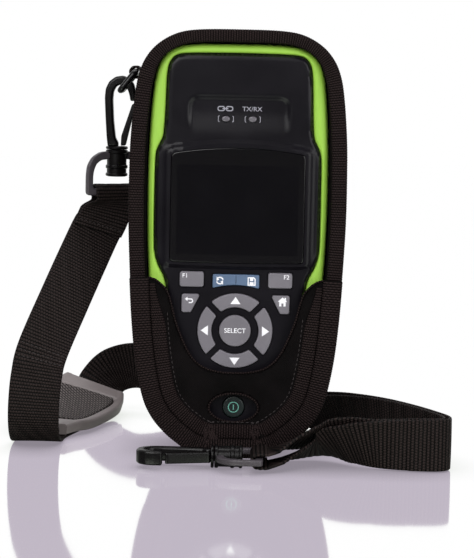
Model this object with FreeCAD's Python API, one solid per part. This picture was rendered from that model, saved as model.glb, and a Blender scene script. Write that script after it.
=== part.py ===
import FreeCAD, Part
import os
from math import sin, cos, asin, pi, radians, degrees

# Handheld network link tester in a padded holster with a shoulder strap.
# Millimetres. X to the right, Y away from the user, Z up; the holster stands on Z = 0.

V = FreeCAD.Vector

# ---- driving dimensions --------------------------------------------------------------
TESTER_FRONT = -21.5        # front face of the tester
TESTER_BACK = 22.2
PLATE = 2.1                 # front face thickness
WALL = 2.0                  # shell wall
BUMPER_T = 3.2              # bumper band thickness over the shells
BUMPER_FRONT = -19.5
BUMPER_BACK = 19.0
LIP = 3.4                   # depth of the bumper's turned-in lips
PART_GAP = 0.2              # gap along the parting line of the two shells
SHELL_FIT = 0.25            # bumper to shell
HOLE_FIT = 0.35             # key to its hole
SOFT_GAP = 0.3              # soft piece to its neighbour

FAIRING = 2                 # points per stretch of a smooth outline
BEZEL_RISE = 1.6            # raised frame round the display
WINDOW_T = 0.9
LCD_X = 29.8
LCD_Z = (100.0, 144.0)

KEY_TOP = -22.6             # key faces
KEY_FLANGE = 0.9            # how far a key's flange reaches past its face
FLANGE_FRONT = -19.2
FLANGE_BACK = -18.2
ROCKER_FRONT = -18.9
ROCKER_BACK = -18.1
ROCKER_RIB = 0.5            # round rib the quick key rocks on
PAD_Z = 62.5                # centre of the direction keys
SELECT_R = 7.8
RING_IN = 11.6
RING_OUT = 18.5
RING_SPLIT = 1.5            # half of the gap between two direction keys
POWER_Z = 24.5
POWER_R = 5.3
LED_X = 6.55
LED_Z = 166.5

MAT_FRONT = -17.3
MAT_BACK = -15.9
BOARD_FRONT = -15.6
BOARD_T = 1.6

RIM_WIDTH = 7.6             # ribbed binding of the arch
POCKET_RIM = 9.4            # ribbed binding of the pocket
RIM_FRONT = -24.2
RIM_BACK = -22.0
POCKET_TOP = 88.5           # outer corners of the front pocket
POCKET_FRONT = -27.2
POCKET_BACK = -24.5
BIND_FRONT = -29.0
WALL_BACK = 16.0            # side walls end, back tray begins
HOLSTER_BACK = 26.8

WEB_W = 25.4                # one-inch webbing
WEB_T = 1.4
TUBE_R = 5.1                # swivel tube of a hook
TUBE_L = 13.6
STEM_R = 2.3
STEM_FIT = 0.3
BAR_R = 1.5                 # webbing bar of a swivel loop
BAR_W = -7.5                # its place below the tube
LOOP_FIT = 0.9              # webbing to the legs of a loop
RING_R = 1.6                # wire radius of the ring
HOOK_HALF = 3.5             # half thickness of a hook


# ---- outlines: right half from the bottom to the top centre, as (x, z) -----------------
HOLSTER = [(14, 0), (22, 3.2), (28, 7.2), (34, 12.2), (40.5, 20), (45, 30), (48.6, 47.5),
           (50.8, 67.5), (52.3, 92), (53.3, 118), (53.2, 145), (52.6, 160), (51.2, 176),
           (49.4, 187), (46, 195.5), (40, 202.5), (31, 207.6), (20, 209.6), (0, 210)]
TESTER = [(13, 5), (20.5, 7.2), (26.5, 11.5), (31, 17), (35, 25), (38.2, 36), (40, 48),
          (41.9, 67), (43.4, 90), (44.3, 115), (44.4, 140), (43.8, 160), (42.6, 178),
          (41, 189), (37.5, 196.5), (31, 201.2), (20, 202.8), (0, 203)]
FACE = [(13, 9.4), (19, 11), (25, 15.4), (29, 21), (31.4, 29), (32.6, 45), (33.2, 66),
        (33.8, 80), (35.2, 88), (38.2, 94), (40, 100), (40.5, 108), (40.5, 140),
        (40.1, 149), (38.6, 153.5), (36.9, 157), (36.2, 163), (35.6, 178), (35.2, 188),
        (34, 193.5), (30.5, 197), (22, 197.9), (0, 198.2)]


def inset(points, d):
    """Half outline moved inward by d along its normals."""
    moved = []
    last = len(points) - 1
    for i, (x, z) in enumerate(points):
        before = points[i - 1] if i else (-points[0][0], points[0][1])
        after = points[i + 1] if i < last else (-points[last - 1][0], points[last - 1][1])
        tangent = V(after[0] - before[0], 0, after[1] - before[1])
        if i == 0 or i == last:
            tangent = V(1 if i == 0 else -1, 0, 0)
        tangent.normalize()
        moved.append((x - tangent.z * d, z + tangent.x * d))
    return moved


def curve_point(q, t):
    """Catmull-Rom value between the middle two of four numbers."""
    return 0.5 * ((2 * q[1]) + (q[2] - q[0]) * t + (2 * q[0] - 5 * q[1] + 4 * q[2] - q[3]) * t ** 2
                  + (3 * q[1] - q[0] - 3 * q[2] + q[3]) * t ** 3)


def fair(points):
    """Half outline with points added on a smooth curve through the given ones."""
    first = (-points[0][0], points[0][1])
    last = (-points[-2][0], points[-2][1])
    path = [first] + list(points) + [last]
    dense = []
    for i in range(1, len(path) - 2):
        for k in range(FAIRING):
            quad = path[i - 1:i + 3]
            dense.append(tuple(curve_point([q[j] for q in quad], k / FAIRING) for j in (0, 1)))
    return dense + [points[-1]]


def outline_wire(points, y):
    """Closed wire at depth y: a smooth run over the top and a flat base line."""
    half = fair(points)
    right = [V(x, y, z) for x, z in half]
    left = [V(-x, y, z) for x, z in half[-2::-1]]
    return Part.makePolygon(right + left + right[:1])


def prism(points, y0, y1):
    return Part.Face(outline_wire(points, y0)).extrude(V(0, y1 - y0, 0))


def ruled(wire_a, wire_b):
    """Solid between two flat wires with matching edges."""
    sides = [Part.makeRuledSurface(a, b) for a, b in zip(wire_a.Edges, wire_b.Edges)]
    shell = Part.makeShell([Part.Face(wire_a), Part.Face(wire_b)] + sides)
    shell.sewShape()
    body = Part.makeSolid(shell)
    if body.Volume < 0:
        body.reverse()
    return body


def taper(points_a, y_a, points_b, y_b):
    return ruled(outline_wire(points_a, y_a), outline_wire(points_b, y_b))


def block(x0, x1, y0, y1, z0, z1):
    return Part.makeBox(x1 - x0, y1 - y0, z1 - z0, V(x0, y0, z0))


def rounded(corners, r, y):
    """Closed wire at depth y through (x, z) corners, each rounded by r."""
    edges = []
    ends = []
    count = len(corners)
    for i in range(count):
        here = V(corners[i][0], y, corners[i][1])
        back = V(corners[i - 1][0], y, corners[i - 1][1]) - here
        ahead = V(corners[(i + 1) % count][0], y, corners[(i + 1) % count][1]) - here
        half = back.getAngle(ahead) / 2
        reach = r * cos(half) / sin(half)
        bisector = (back.normalize() + ahead.normalize()).normalize()
        middle = here + bisector * (r / sin(half) - r)
        start = here + back * reach
        end = here + ahead * reach
        edges.append(Part.Arc(start, middle, end).toShape())
        ends.append((start, end))
    for i in range(count):
        edges.append(Part.makeLine(ends[i][1], ends[(i + 1) % count][0]))
    return Part.Wire(Part.__sortEdges__(edges))


def rectangle(x0, x1, z0, z1, r, y):
    return rounded([(x0, z0), (x1, z0), (x1, z1), (x0, z1)], r, y)


def solid(wire, y1):
    face = Part.Face(wire)
    y0 = wire.BoundBox.YMin
    return face.extrude(V(0, y1 - y0, 0))


def grown(wire, d):
    return wire.makeOffset2D(d) if d else wire


def save(name, shape):
    shape.exportStep("parts/%s.step" % name)


# ---- key outlines -----------------------------------------------------------------------
def circle_wire(x, z, r, y):
    return Part.Wire(Part.Circle(V(x, y, z), V(0, 1, 0), r).toShape())


def direction_wire(turn, d, y):
    """One quarter of the direction ring, turned about the ring's centre, grown by d."""
    g = RING_SPLIT - d
    r_in = RING_IN - d
    r_out = RING_OUT + d

    def at(r, angle):
        a = radians(angle + turn)
        return V(r * cos(a), y, PAD_Z + r * sin(a))
    lo_in = 45 + degrees(asin(g / r_in))
    lo_out = 45 + degrees(asin(g / r_out))
    edges = [Part.Arc(at(r_out, lo_out), at(r_out, 90), at(r_out, 180 - lo_out)).toShape(),
             Part.makeLine(at(r_out, 180 - lo_out), at(r_in, 180 - lo_in)),
             Part.Arc(at(r_in, 180 - lo_in), at(r_in, 90), at(r_in, lo_in)).toShape(),
             Part.makeLine(at(r_in, lo_in), at(r_out, lo_out))]
    return Part.Wire(edges)


def quick_wire(d, y):
    """Rocker with a hollow lower edge that follows the direction ring."""
    x = 11.5 + d
    low = 83.4 - d
    high = 90.4 + d
    edges = [Part.Arc(V(-x, y, low), V(0, y, low + 1.7), V(x, y, low)).toShape(),
             Part.makeLine(V(x, y, low), V(x, y, high)),
             Part.makeLine(V(x, y, high), V(-x, y, high)),
             Part.makeLine(V(-x, y, high), V(-x, y, low))]
    return Part.Wire(edges)


def key_wire(name, d, y):
    if name == "f1_key":
        return rectangle(-27.7 - d, -15.8 + d, 83.9 - d, 91.5 + d, 1.2 + d, y)
    if name == "f2_key":
        return rectangle(15.8 - d, 27.7 + d, 83.9 - d, 91.5 + d, 1.2 + d, y)
    if name == "back_key":
        return grown(rounded([(-26.6, 80.4), (-26.6, 71.2), (-22.0, 71.2), (-17.3, 80.4)], 1.0, y), d)
    if name == "home_key":
        return grown(rounded([(26.6, 80.4), (17.3, 80.4), (22.0, 71.2), (26.6, 71.2)], 1.0, y), d)
    if name == "quick_key":
        return quick_wire(d, y)
    if name == "select_key":
        return circle_wire(0, PAD_Z, SELECT_R + d, y)
    if name == "power_key":
        return circle_wire(0, POWER_Z, POWER_R + d, y)
    turns = {"up_key": 0, "left_key": 90, "down_key": 180, "right_key": 270}
    return direction_wire(turns[name], d, y)


KEYS = ("f1_key", "f2_key", "quick_key", "back_key", "home_key", "up_key", "down_key",
        "left_key", "right_key", "select_key", "power_key")


def key(name):
    """Key cap with the flange that keeps it behind the face."""
    front = ROCKER_FRONT if name == "quick_key" else FLANGE_FRONT
    back = ROCKER_BACK if name == "quick_key" else FLANGE_BACK
    cap = solid(key_wire(name, 0, KEY_TOP), back)
    flange = solid(key_wire(name, KEY_FLANGE, front), back)
    if name == "quick_key":
        flange = flange.fuse(Part.makeCylinder(ROCKER_RIB, 6.4, V(0, back, 84.6)))
    return cap.fuse(flange).removeSplitter()


# ---- tester -----------------------------------------------------------------------------
SHELL = inset(TESTER, BUMPER_T)
FACE_BACK = TESTER_FRONT + 5.3          # where the narrow face meets the full-width shell


def arch_wire(half, low, side, crown, y):
    """Display outline: straight sides and base, arched top."""
    edges = [Part.makeLine(V(-half, y, low), V(half, y, low)),
             Part.makeLine(V(half, y, low), V(half, y, side)),
             Part.Arc(V(half, y, side), V(0, y, crown), V(-half, y, side)).toShape(),
             Part.makeLine(V(-half, y, side), V(-half, y, low))]
    return Part.Wire(edges)


def port_boxes(d):
    """Sockets through the sides of the shells, grown by d."""
    boxes = [block(27, 50, -6.6 - d, 6.6 + d, 122.6 - d, 138.6 + d),
             block(20, 50, -4.9 - d, 4.9 + d, 139.9 - d, 154.1 + d),
             block(-50, -27, -6.6 - d, 6.6 + d, 108 - d, 124 + d),
             block(-50, -29, -4.5 - d, 4.5 + d, 128 - d, 137 + d)]
    return boxes


def front_shell():
    face = prism(FACE, TESTER_FRONT, FACE_BACK + 0.3)
    body = prism(SHELL, FACE_BACK, -PART_GAP)
    frame = Part.makeLoft([arch_wire(37.2, 93.2, 152.4, 156.8, TESTER_FRONT + 0.2),
                           arch_wire(34.2, 95.2, 150.6, 154.6, TESTER_FRONT - BEZEL_RISE)], True, True)
    shell = face.fuse([body, frame])
    room = prism(inset(FACE, WALL + 0.2), TESTER_FRONT + PLATE, FACE_BACK + 2.4)
    rear = prism(inset(SHELL, WALL), FACE_BACK + WALL, 1)
    window = solid(arch_wire(33, 96.2, 149.6, 152.6, TESTER_FRONT - BEZEL_RISE - 1),
                   TESTER_FRONT - BEZEL_RISE + WINDOW_T + 0.3)
    lcd = block(-LCD_X - 0.4, LCD_X + 0.4, -30, -15, LCD_Z[0] - 0.4, LCD_Z[1] + 0.4)
    dish = Part.makeLoft([rectangle(-25.4, 25.4, 157.4, 178.2, 5, TESTER_FRONT - 0.1),
                          rectangle(-23, 23, 159, 176.2, 3.5, TESTER_FRONT + 1.1)], True, True)
    cuts = [room, rear, window, lcd, dish]
    for x in (-LED_X, LED_X):
        cuts.append(lens_hole(x, 2.4, 1.8, TESTER_FRONT - 1, TESTER_FRONT + 3))
    for name in KEYS:
        cuts.append(solid(key_wire(name, HOLE_FIT, TESTER_FRONT - 1), TESTER_FRONT + PLATE + 0.1))
    cuts.extend(port_boxes(0.3))
    return shell.cut(cuts).removeSplitter()


def lens_hole(x, rx, rz, y0, y1):
    ellipse = Part.Ellipse(V(0, 0, 0), rx, rz)
    wire = Part.Wire(ellipse.toShape())
    wire.rotate(V(0, 0, 0), V(1, 0, 0), 90)
    wire.translate(V(x, y0, LED_Z))
    return Part.Face(wire).extrude(V(0, y1 - y0, 0))


def led_lens(x):
    """Light pipe: oval head in the dish, foot down to the board."""
    head = lens_hole(x, 2.1, 1.5, TESTER_FRONT + 0.7, BOARD_FRONT - 0.3)
    foot = lens_hole(x, 3.2, 2.6, TESTER_FRONT + PLATE + 0.2, BOARD_FRONT - 0.3)
    return head.fuse(foot).removeSplitter()


def back_shell():
    body = prism(SHELL, 0, BUMPER_BACK - LIP + 0.1)
    rear = taper(inset(TESTER, BUMPER_T + 2.6), BUMPER_BACK - LIP, inset(TESTER, 8.4), TESTER_BACK)
    shell = body.fuse(rear)
    shell = shell.cut([prism(inset(SHELL, WALL), -1, BUMPER_BACK - LIP - WALL),
                       prism(inset(TESTER, 11), 0, TESTER_BACK - WALL - 0.2)])
    bay = block(-27.5, 27.5, 2, TESTER_BACK - 1.2, 31, 91)
    shell = shell.fuse(bay)
    cuts = [block(-25.8, 25.8, 3.8, TESTER_BACK + 1, 32.7, 89.3),
            block(-27, 27, TESTER_BACK - 2.1, TESTER_BACK + 1, 31.5, 92.6)]
    for x, z in SCREWS:
        cuts.append(Part.makeCylinder(2.9, 3, V(x, TESTER_BACK - 1.4, z), V(0, 1, 0)))
        cuts.append(Part.makeCylinder(1.6, 12, V(x, TESTER_BACK - 10, z), V(0, 1, 0)))
    cuts.extend(port_boxes(0.3))
    return shell.cut(cuts).removeSplitter()


SCREWS = ((-29, 185), (29, 185), (-33, 104), (33, 104))


def case_screws():
    """Four pan-head screws through the back shell."""
    screws = []
    for x, z in SCREWS:
        head = Part.makeCylinder(2.6, 1.2, V(x, TESTER_BACK - 1.35, z), V(0, 1, 0))
        shank = Part.makeCylinder(1.4, 6, V(x, TESTER_BACK - 7.3, z), V(0, 1, 0))
        slot = block(x - 1.8, x + 1.8, TESTER_BACK - 0.7, TESTER_BACK, z - 0.35, z + 0.35)
        screws.append(head.fuse(shank).cut(slot))
    return Part.makeCompound(screws)


def bumper_band():
    """Soft green band: turned-in lips front and back, round the joint of the shells."""
    outer = prism(TESTER, BUMPER_FRONT + 3, BUMPER_BACK - 3)
    front = taper(inset(TESTER, 2.2), BUMPER_FRONT, TESTER, BUMPER_FRONT + 3)
    back = taper(TESTER, BUMPER_BACK - 3, inset(TESTER, 2.4), BUMPER_BACK)
    band = outer.fuse([front, back])
    cuts = [prism(inset(FACE, -SHELL_FIT), BUMPER_FRONT - 1, 0),
            prism(inset(SHELL, -SHELL_FIT), FACE_BACK - SHELL_FIT, BUMPER_BACK - LIP + 0.4),
            prism(inset(TESTER, BUMPER_T + 2.3), 0, BUMPER_BACK + 1)]
    cuts.extend(port_boxes(0.9))
    return band.cut(cuts).removeSplitter()


def jack(side, z0):
    """Eight-pole modular socket, mouth facing sideways."""
    near, far = (27, 43.6) if side > 0 else (-43.6, -27)
    body = block(near, far, -6.6, 6.6, z0, z0 + 16)
    mouth = block(near + 4.6, far + 1, -3.4, 3.2, z0 + 2.1, z0 + 13.9)
    latch = block(near + 4.6, far + 1, 3.1, 5.2, z0 + 5, z0 + 11)
    if side < 0:
        mouth = block(near - 1, far - 4.6, -3.4, 3.2, z0 + 2.1, z0 + 13.9)
        latch = block(near - 1, far - 4.6, 3.1, 5.2, z0 + 5, z0 + 11)
    return body.cut([mouth, latch])


def fiber_cage():
    """Metal cage for a plug-in optical module."""
    return block(20, 43.4, -4.9, 4.9, 139.9, 154.1).cut(block(21, 45, -4.3, 4.3, 140.5, 153.5))


def power_jack():
    body = block(-43.4, -29, -4.5, 4.5, 128, 137)
    bore = Part.makeCylinder(2.8, 11, V(-44, 0, 132.5), V(1, 0, 0))
    pin = Part.makeCylinder(0.9, 8.5, V(-41.5, 0, 132.5), V(1, 0, 0))
    return body.cut(bore).fuse(pin).removeSplitter()


# ---- holster ----------------------------------------------------------------------------
CAVITY = inset(TESTER, -0.5)
PANEL = inset(HOLSTER, 1.2)
PANEL[0] = (PANEL[0][0], 0.0)


def below(shape, z):
    return shape.common(block(-100, 100, -100, 100, -10, z))


def holster_sides():
    """Padded wall round the tester, with a port window in each side."""
    wall = prism(PANEL, RIM_BACK + SOFT_GAP, WALL_BACK).cut(prism(CAVITY, -40, 40))
    windows = [block(40, 60, -12, 12, 121, 155.5), block(-60, -40, -12, 12, 106, 143)]
    return wall.cut(windows).removeSplitter()


def holster_back():
    """Padded back panel with softened edges, hollowed for the tester's back."""
    narrow = [(x * 0.885, z * 0.972) for x, z in PANEL]
    tray = taper(PANEL, WALL_BACK + SOFT_GAP, narrow, HOLSTER_BACK)
    return tray.cut(prism(CAVITY, 0, TESTER_BACK + SOFT_GAP)).removeSplitter()


def u_cut(d, y0, y1):
    """Opening of the pocket over the keys, grown by d."""
    right = [(0, 42), (7, 42.3), (14, 44), (19, 47.3), (23, 52.5), (26.5, 60), (29.5, 68),
             (31.5, 76), (34, 82.5), (39, 87.2), (46, 89.4)]
    points = [V(x, y0, z - d) for x, z in right]
    left = [V(-x, y0, z - d) for x, z in right[::-1]]
    curve = Part.BSplineCurve()
    curve.interpolate(Points=left + points[1:])
    top = 130
    edges = [curve.toShape(), Part.makeLine(points[-1], V(46, y0, top)),
             Part.makeLine(V(46, y0, top), V(-46, y0, top)), Part.makeLine(V(-46, y0, top), left[0])]
    return Part.Face(Part.Wire(edges)).extrude(V(0, y1 - y0, 0))


def oval_window(y0, y1, rx, rz):
    wire = Part.Wire(Part.Ellipse(V(0, 0, 0), rx, rz).toShape())
    wire.rotate(V(0, 0, 0), V(1, 0, 0), 90)
    wire.translate(V(0, y0, POWER_Z + 0.4))
    return Part.Face(wire).extrude(V(0, y1 - y0, 0))


def pocket_front():
    panel = below(prism(PANEL, POCKET_FRONT, POCKET_BACK), POCKET_TOP)
    return panel.cut([u_cut(0, -40, -10), oval_window(-40, -10, 12, 7)]).removeSplitter()


def rim_binding():
    """Ribbed tape over the front edge of the arch."""
    base = inset(HOLSTER, 0)
    return prism(base, RIM_FRONT, RIM_BACK).cut(prism(inset(HOLSTER, RIM_WIDTH), -40, 0))


def pocket_binding():
    """Wide ribbed tape round the outer edge of the pocket."""
    ring = prism(HOLSTER, BIND_FRONT, POCKET_FRONT - SOFT_GAP)
    ring = ring.cut(prism(inset(HOLSTER, POCKET_RIM), -40, 0))
    return below(ring, POCKET_TOP).removeSplitter()


def belt_loop():
    """Webbing loop sewn across the back panel, open from side to side."""
    outer = block(-19, 19, HOLSTER_BACK + SOFT_GAP, 34.4, 96, 172)
    return outer.cut(block(-20, 20, HOLSTER_BACK, 32.6, 108, 160)).removeSplitter()


TAB_X = -52.6
TAB_Z = 188.2
TAB_Y = (8.5, 24.5)


def ring_tab():
    """Webbing tab folded round the ring's straight bar."""
    depth = TAB_Y[1] - TAB_Y[0]
    fold = Part.makeCylinder(3.3, depth, V(TAB_X, TAB_Y[0], TAB_Z), V(0, 1, 0))
    tongue = block(TAB_X, -48.2, TAB_Y[0], TAB_Y[1], TAB_Z - 3.3, TAB_Z - 0.4)
    bore = Part.makeCylinder(RING_R + 0.3, depth + 2, V(TAB_X, TAB_Y[0] - 1, TAB_Z), V(0, 1, 0))
    holster = prism(inset(PANEL, -SOFT_GAP), -40, 40)
    return fold.fuse(tongue).cut([bore, holster]).removeSplitter()


def d_ring():
    """Rectangular wire ring, straight bar in the tab, hanging outward."""
    top = V(TAB_X, 0, TAB_Z)
    low = top + V(-7.2, 0, -9.2)
    y0, y1 = 5.6, 27.4
    corners = [V(p.x, y, p.z) for p, y in ((top, y0), (top, y1), (low, y1), (low, y0))]
    wires = []
    for a, b in zip(corners, corners[1:] + corners[:1]):
        wires.append(Part.makeCylinder(RING_R, (b - a).Length, a, b - a))
        wires.append(Part.makeSphere(RING_R, b))
    return wires[0].fuse(wires[1:]).removeSplitter()


# ---- swivel hooks, drawn upright: x across, z along the tube's axis ----------------------
def polygon(points, half):
    wire = Part.makePolygon([V(x, -half, z) for x, z in points + points[:1]])
    return Part.Face(wire).extrude(V(0, 2 * half, 0))


def swivel_loop():
    """Webbing loop with the tube that holds the hook's stem."""
    leg = WEB_W / 2 + LOOP_FIT
    half = [(5, 12.2), (leg - 4.1, 11.8), (leg, 9.2), (leg + 2.3, 5.2), (leg + 2.8, 0.5),
            (leg + 2.8, BAR_W - BAR_R)]
    inner = [(4, 8.8), (leg - 4.6, 8.4), (leg - 1.8, 6.4), (leg - 0.4, 3), (leg, 0),
             (leg, BAR_W + BAR_R)]
    outer = half + [(-x, z) for x, z in half[::-1]]
    hole = inner + [(-x, z) for x, z in inner[::-1]]
    frame = polygon(outer, BAR_R).cut(polygon(hole, 5))
    frame = frame.cut(block(-leg, leg, -5, 5, BAR_W - 3, BAR_W + BAR_R))
    bar = Part.makeCylinder(BAR_R, 2 * leg + 1, V(-leg - 0.5, 0, BAR_W), V(1, 0, 0))
    tube = Part.makeCylinder(TUBE_R, TUBE_L, V(0, 0, 0))
    rings = [Part.makeCylinder(TUBE_R + 0.5, 1.6, V(0, 0, z)) for z in (0, 4.2, 12.0)]
    loop = frame.fuse([bar, tube] + rings)
    bore = Part.makeCylinder(STEM_R + STEM_FIT, TUBE_L, V(0, 0, 2.5))
    chamber = Part.makeCylinder(3.6 + STEM_FIT, 2.2, V(0, 0, 4.6))
    return loop.cut([bore, chamber]).removeSplitter()


# past the end of the tube
HOOK_OUTLINE = [(-4.6, 1.6), (-5.2, 6.4), (-5.9, 16.4), (-6.4, 26.4), (-6, 30.9), (-4.2, 34.6),
                (-1, 37), (2.6, 37.6), (6, 36.4), (8.4, 33.4), (9.4, 29.4), (9.4, 24.9),
                (6.6, 24.7), (6.2, 27.4), (5.2, 30.6), (3.2, 32.6), (1.4, 33), (-0.6, 32),
                (-1.9, 29.4), (-2.2, 25.4), (-1.6, 14.4), (-0.6, 6), (0.2, 4.6), (0.8, 3.8),
                (0.8, 1.6)]
KNUCKLE = (3.3, 3.0)        # pin of the gate, past the end of the tube


def hook():
    """Open hook on a turned stem that snaps into the tube."""
    frame = polygon([(x, TUBE_L + z) for x, z in HOOK_OUTLINE], HOOK_HALF)
    collar = Part.makeCylinder(5.6, 1.5, V(0, 0, TUBE_L + 0.25))
    stem = Part.makeCylinder(STEM_R, TUBE_L - 3, V(0, 0, 4.0))
    head = Part.makeCylinder(3.6, 1.6, V(0, 0, 4.9))
    return frame.fuse([collar, stem, head]).removeSplitter()


def gate():
    """Thin sprung bar from the foot of the hook to its nose."""
    x, z = KNUCKLE[0], TUBE_L + KNUCKLE[1]
    points = [(x - 1.1, z - 0.2), (x + 1.2, z - 0.2), (9.2, z + 19.6), (8.8, z + 20.6),
              (7.5, z + 20.2), (x - 1.0, z + 4)]
    knuckle = Part.makeCylinder(1.25, 5.2, V(x, -2.6, z), V(0, 1, 0))
    return polygon(points, 2.6).fuse(knuckle).removeSplitter()


def place_upper(shape, turn):
    shape = shape.copy()
    shape.rotate(V(0, 0, 0), V(0, 0, 1), turn)
    shape.translate(UPPER)
    return shape


def place_lower(shape):
    """Laid on the floor: nose toward the user, tip to the left."""
    shape = shape.copy()
    shape.rotate(V(0, 0, 0), V(0, 1, 0), -90)
    shape.rotate(V(0, 0, 0), V(1, 0, 0), 90)
    shape.translate(LOWER)
    return shape


UPPER = V(-62, 21, 135)
LOWER = V(5, -53, 5.65)
LOOP_TURN = 30


# ---- webbing ----------------------------------------------------------------------------
def smooth(stations, steps):
    """Points and width directions along a Catmull-Rom curve through the stations."""
    count = len(stations)
    rows = []
    for i in range(count - 1):
        quad = [stations[max(i - 1, 0)], stations[i], stations[i + 1], stations[min(i + 2, count - 1)]]
        for k in range(steps):
            t = k / steps
            rows.append([curve_point([q[j] for q in quad], t) for j in range(len(quad[0]))])
    rows.append(list(stations[-1]))
    return rows


def frames(stations, steps=3, start=None, end=None):
    """Centre, direction, width direction, normal and half width at each row."""
    rows = smooth(stations, steps)
    result = []
    for i, row in enumerate(rows):
        ahead = rows[min(i + 1, len(rows) - 1)]
        behind = rows[max(i - 1, 0)]
        along = (V(*ahead[0:3]) - V(*behind[0:3])).normalize()
        if start and i == 0:
            along = V(*start).normalize()
        if end and i == len(rows) - 1:
            along = V(*end).normalize()
        across = V(*row[3:6]).normalize()
        across = (across - along * across.dot(along)).normalize()
        result.append((V(*row[0:3]), along, across, along.cross(across), row[6]))
    return result


def triangle(a, b, c):
    return Part.Face(Part.makePolygon([a, b, c, a]))


def band(rows, thick, shift=0.0, trim=0.0):
    """Flat band along rows of frames, in small flat facets."""
    rings = []
    for centre, along, across, normal, half in rows:
        side = across * (half - trim)
        low = centre + normal * (shift - thick / 2)
        high = centre + normal * (shift + thick / 2)
        rings.append([low - side, low + side, high + side, high - side])
    faces = []
    for a, b in zip(rings, rings[1:]):
        for k in range(4):
            n = (k + 1) % 4
            faces.append(triangle(a[k], a[n], b[n]))
            faces.append(triangle(a[k], b[n], b[k]))
    for end in (rings[0], rings[-1]):
        faces.append(triangle(end[0], end[1], end[2]))
        faces.append(triangle(end[0], end[2], end[3]))
    shell = Part.makeShell(faces)
    shell.sewShape()
    body = Part.makeSolid(shell)
    if body.Volume < 0:
        body.reverse()
    return body


HALF = WEB_W / 2


def web(*rows):
    return [tuple(row) + (HALF,) for row in rows]


FOLD_U = V(cos(radians(LOOP_TURN)), sin(radians(LOOP_TURN)), 0)
FOLD_V = V(-sin(radians(LOOP_TURN)), cos(radians(LOOP_TURN)), 0)
STITCH = (-69, 17, 112)
STITCH_W = (0.92, 0.25, -0.3)

DOWN = (-0.42, -0.25, -0.87)            # lie of the webbing at the stitch line
LEFT_RUN = web((-69.45, 17.78, 112) + STITCH_W,
               (-73.4, 14, 104, 0.92, 0.15, -0.38),
               (-85, -4, 75.8, 0.92, 0.05, -0.39),
               (-95, -17, 50.5, 0.91, 0, -0.41),
               (-97.8, -19.5, 37.6, 0.97, 0, -0.2),
               (-99, -19.5, 25, 1, 0, 0),
               (-99.5, -15.5, 13, 1, 0, 0),
               (-99.5, -7, 4.6, 1, 0, 0),
               (-99, 3, 1.5, 1, 0, 0))
PAD_RUN = web((-98, 14, 1.1, 0.99, -0.1, 0),
              (-93, 36, 1.4, 0.97, -0.2, -0.04),
              (-85, 66, 3.8, 0.95, -0.22, -0.12),
              (-79, 90, 7.6, 0.93, -0.22, -0.26))
ARCH_RUN = web((-76, 101, 10.4, 0.93, -0.22, -0.31),
               (-73.5, 106, 15.5, 0.8, -0.2, -0.55),
               (-66.5, 107, 22, 0.6, -0.1, -0.79),
               (-55, 103, 25.5, 0.15, 0, -0.99))
BACK_RUN = web((-42, 97, 24, 0.05, 0, -1),
               (-28, 90, 20, 0.12, 0.1, -0.98),
               (-5, 77, 15.6, 0.2, 0.28, -0.93),
               (20, 61, 13.2, 0.3, 0.45, -0.84),
               (44, 43, 12.4, 0.38, 0.44, -0.8))
BEND_RUN = web((62, 25, 13.0, 0.25, 0.25, -0.94),
               (77, 5, 13.4, 0.08, 0.05, -1),
               (89, -14, 13.3, 0, 0, -1),
               (99.5, -34, 13.3, 0, 0, -1),
               (103.2, -43.5, 13.3, 0, 0, -1),
               (102.6, -50, 13.3, 0, 0, -1),
               (97.5, -53.2, 13.3, 0, 0, -1),
               (85, -53.4, 13.3, 0, 0.1, -1))
RUNS = (LEFT_RUN, PAD_RUN, ARCH_RUN, BACK_RUN, BEND_RUN)
TOWARD_HOOK = (-1, 0, 0)
FRONT_OUTER = web((85, -54.9, 13.3, 0, 0.1, -1),
                  (68, -54.4, 13.0, 0, 0.34, -0.94),
                  (55, -48.5, 11.6, 0, 0.62, -0.78),
                  (43, -41.5, 9.6, 0, 0.84, -0.55),
                  (30, -45, 5.9, 0, 0.96, -0.27),
                  (17, -53, 2.5, 0, 1, 0))
FRONT_INNER = web((85, -51.9, 13.3, 0, 0.1, -1),
                  (68, -51.2, 13.6, 0, 0.32, -0.94),
                  (55, -45.4, 15.0, 0, 0.6, -0.8),
                  (43, -42.5, 14.8, 0, 0.8, -0.6),
                  (30, -47, 12.4, 0, 0.93, -0.36),
                  (17, -53, 8.9, 0, 1, 0))
LAYER = 1.5                 # half the distance between the two layers of webbing
SLIDE_FIT = 0.8             # webbing to the end rails of the adjuster
SLIDE_RAIL = 3.0


def run_piece(index, shift=0.0):
    """One node of the long run; neighbours share the same end section."""
    rows = frames(sum(RUNS, []), 3, DOWN, TOWARD_HOOK)
    first = 3 * sum(len(run) for run in RUNS[:index])
    last = first + 3 * len(RUNS[index])
    return band(rows[first:last + 1], WEB_T, shift)


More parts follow.
